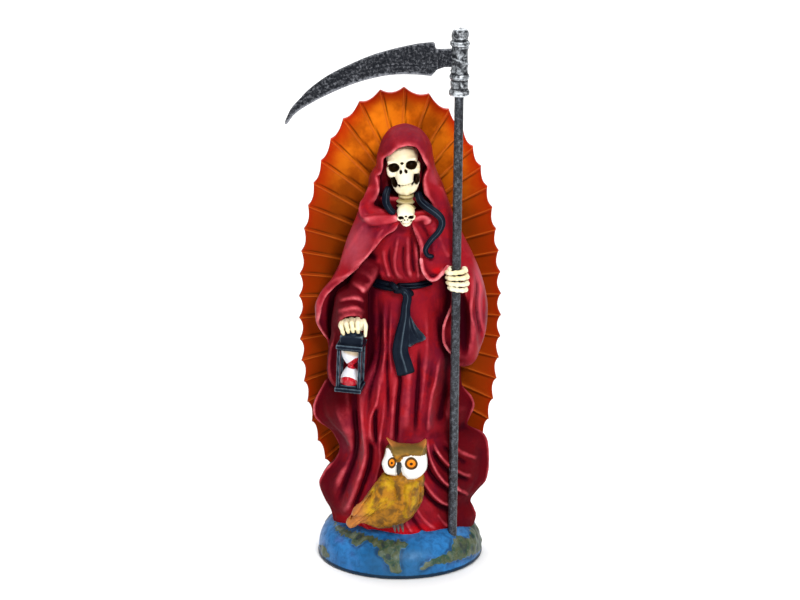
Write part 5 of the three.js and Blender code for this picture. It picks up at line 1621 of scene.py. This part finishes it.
# The wall of the socket round the rod, at shares of its height.
SOCKET_WALL = [
    (0, 2.3), (0.02, 2.7), (0.06, 2.8), (0.09, 2.3), (0.11, 1.7), (0.13, 1.9), (0.2, 2.1), (0.235, 1.8),
    (0.25, 2.3), (0.28, 2.7), (0.31, 2.4), (0.33, 1.8), (0.36, 1.7), (0.5, 1.6), (0.7, 1.5), (0.735, 1.6),
    (0.745, 2.3), (0.77, 2.6), (0.8, 2.4), (0.815, 1.6), (0.83, 1.3), (0.86, 1.7), (0.9, 1.9), (0.94, 1.6),
    (0.97, 0.9), (0.99, 0.1), (1.0, -1.2),
]
BLADE_BACK = [
    (-13.4, 11.6), (-15, 11.8), (-22.6, 11), (-35.9, 8), (-47.8, 4.3), (-58.5, -0.4), (-69.1, -5.8),
    (-77.8, -11.9), (-83.9, -17.6), (-90, -24.7), (-93.2, -31.4),
]
BLADE_EDGE = [
    (-15, -6.5), (-22.6, -5.8), (-32.6, -5.8), (-42.6, -7.1), (-55.9, -10.9), (-69.2, -16.6), (-79.3, -22),
    (-87.3, -27.4), (-92.2, -33.6),
]


def socket():
    """The cast tube over the rod's end, with rings, a band that winds round it and a lobed cap."""
    shares = np.linspace(0, 1, 150)
    radii = HEAD_BORE + np.interp(shares, *np.transpose(SOCKET_WALL))
    bore_end = HEAD_FOOT + 18
    profile = [(0.01, bore_end), (HEAD_BORE, bore_end), (HEAD_BORE, HEAD_FOOT + 0.2)]
    profile += [(radius, HEAD_FOOT + share * HEAD_HEIGHT) for share, radius in zip(shares, radii)]
    profile += [(0.01, HEAD_FOOT + HEAD_HEIGHT)]
    vertices, quads = turned(profile, 72)
    share = (vertices[:, 2] - HEAD_FOOT) / HEAD_HEIGHT
    angle = np.arctan2(vertices[:, 1], vertices[:, 0])
    radius = np.hypot(vertices[:, 0], vertices[:, 1])
    band = (share > 0.35) * (share < 0.73) * (radius > HEAD_BORE + 0.4)
    phase = np.mod(angle / (2 * np.pi) + (share - 0.35) * 4.2, 1)
    spiral = bell(phase - 0.5, 0.1) * band
    lobes = 0.5 * np.cos(3 * angle + 20 * share) * (share > 0.84) * (share < 0.995)
    vertices[:, :2] *= (1 + (0.55 * spiral + lobes * 0.5) / np.maximum(radius, 1))[:, None]
    # the bright silver on the socket is rubbed paint and also painted highlight
    silver = gunmetal("socket_rub_and_highlight", (0.80, 0.85, 0.90), 0.95, -0.04, 0.28, 0.0001)
    ridge = ridges(vertices, quads, 0.8, 0.4)
    piece("socket", from_scythe(vertices), quads, silver, "scythe_head", "dark_casting", 0, ridge=ridge)


def blade():
    """The curved blade: thick along its back, ground thin along its edge, and dented all over."""
    root = HEAD_FOOT + 0.46 * HEAD_HEIGHT
    back = curve(BLADE_BACK, 46)
    edge = curve(BLADE_EDGE, 44)
    outline = [(0, 8.6), (-8, 8.4), (-12.7, 8.3), *back, (-93.4, -33.4), *edge[::-1]]
    outline = np.array([*outline, (-12, -2.8), (-8, -1.4), (0, -1.2)]) + [0, root]
    space = Space((-96, -4, root - 38), (3, 4, root + 17), 0.36)
    x, z = space.x, space.z
    flat = enclosed(np.vstack([outline, outline[:1]]), x, z)
    from_edge, _, _ = nearest(edge + [0, root], x, z)
    tang = x > -11.6
    taper = np.clip(1 - 0.6 * (-x - 12) / 80, 0.35, 1)
    thick = 1.7 * taper * np.clip(0.3 + 0.7 * from_edge / 4.6, 0, 1)
    thick = thick - 0.35 * bell(from_edge - 5.2, 0.5) * (x < -12)
    thick = np.where(tang, 1.35, thick)
    rng = np.random.default_rng(11)
    dents = np.zeros(flat.shape, np.float32)
    for _ in range(420):
        px = rng.uniform(-92, -12)
        pz = rng.uniform(root - 34, root + 13)
        r = rng.uniform(0.5, 1.5)
        dent = 0.22 * np.exp(-(((x - px) ** 2 + (z - pz) ** 2) / r**2))
        dents += dent * (1 if rng.random() < 0.6 else -0.7)
    dents = np.where(tang, 0.2 * dents, dents) * np.clip(from_edge / 3 - 0.5, 0, 1)
    field = smax(flat, np.abs(space.y) - np.maximum(thick - dents, 0.25), 0.5)
    points, faces = skin(field, space)
    points = eased(points, faces, 1)
    column_x, _, column_z = cells(space, points, field.shape)
    bevel = bell(from_edge[column_x, 0, column_z], 1.3) * (points[:, 0] < -14)
    ridge = 0.5 * ridges(points, faces, 0.9, space.cell) + 0.2 * bevel
    iron = gunmetal("rubbed_blade", (0.28, 0.29, 0.32), 0.8, -0.02, 0.26, 0.00012, 720, 0.12)
    piece("blade", from_scythe(points), faces, iron, "scythe_head", "dark_casting", 0, ridge=ridge)


# Build

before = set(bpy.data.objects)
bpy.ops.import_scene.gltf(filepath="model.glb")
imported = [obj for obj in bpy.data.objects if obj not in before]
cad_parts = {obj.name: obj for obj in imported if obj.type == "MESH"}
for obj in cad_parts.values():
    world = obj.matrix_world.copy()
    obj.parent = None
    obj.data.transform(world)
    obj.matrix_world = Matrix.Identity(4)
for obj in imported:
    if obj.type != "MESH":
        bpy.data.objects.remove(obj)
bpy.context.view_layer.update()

vertices, quads, marks = globe()
piece("globe", vertices, quads, oceans(), lift=0, **marks)
points, quads, ridge, rim = halo()
piece("halo", points, quads, flame(), ridge=ridge, rim=rim)
dress()
skull("skull", (1.8, -7.5, 207.3), 18.8, (0.05, -0.16, -0.03), 0.28)
skull("clasp", (3.3, -20.4, 181.4), 10.4, (0.1, -0.06, 0), 0.19, 0.95, 0.5, 0.3)
vertebrae()
fist()
glass_hand()
belt()
cord()
hourglass()
owl()
shaft()
socket()
blade()


# Studio

camera_data = bpy.data.cameras.new("camera")
camera_data.lens = 112.95
camera_data.sensor_width = 36
camera_data.clip_end = 20
camera = bpy.data.objects.new("camera", camera_data)
bpy.context.scene.collection.objects.link(camera)
bpy.context.scene.camera = camera
elevation = math.radians(15.5)
distance = 1.4
target = Vector((0, 0, 0.1485))
camera.location = target + distance * Vector((0, -math.cos(elevation), math.sin(elevation)))
camera.rotation_euler = (target - camera.location).to_track_quat("-Z", "Y").to_euler()


def area_light(name, place, size, power, aim=(0, 0, 0.15)):
    data = bpy.data.lights.new(name, "AREA")
    data.shape = "RECTANGLE"
    data.size = size[0]
    data.size_y = size[1]
    data.energy = power
    light = bpy.data.objects.new(name, data)
    bpy.context.scene.collection.objects.link(light)
    light.location = place
    light.rotation_euler = (Vector(aim) - Vector(place)).to_track_quat("-Z", "Y").to_euler()


area_light("key", (0.42, -1.3, 1.0), (0.4, 0.4), 21)
area_light("fill", (-0.7, -1.25, 0.5), (0.4, 0.6), 3.5)
area_light("top", (-0.1, 0.1, 1.5), (0.8, 0.7), 15)
area_light("backdrop", (0, 2.3, 1.6), (4.0, 2.0), 80, (0, 2.3, 0))

bpy.ops.mesh.primitive_plane_add(size=12)
floor = bpy.context.active_object
floor.name = "studio_floor"
pale = Nodes("pale_floor")
tone = pale.mix(pale.noise(3, 2), (0.86, 0.86, 0.86), (0.9, 0.9, 0.9))
floor.data.materials.append(pale.finish(tone, pale.ramp(pale.noise(5), 0.2, 0.8, 0.6, 0.7)))

world = bpy.data.worlds.new("studio_light")
world.use_nodes = True
background = world.node_tree.nodes["Background"]
background.inputs["Color"].default_value = (1, 1, 1, 1)
background.inputs["Strength"].default_value = 0.26
bpy.context.scene.world = world
bpy.context.scene.view_settings.view_transform = "Standard"
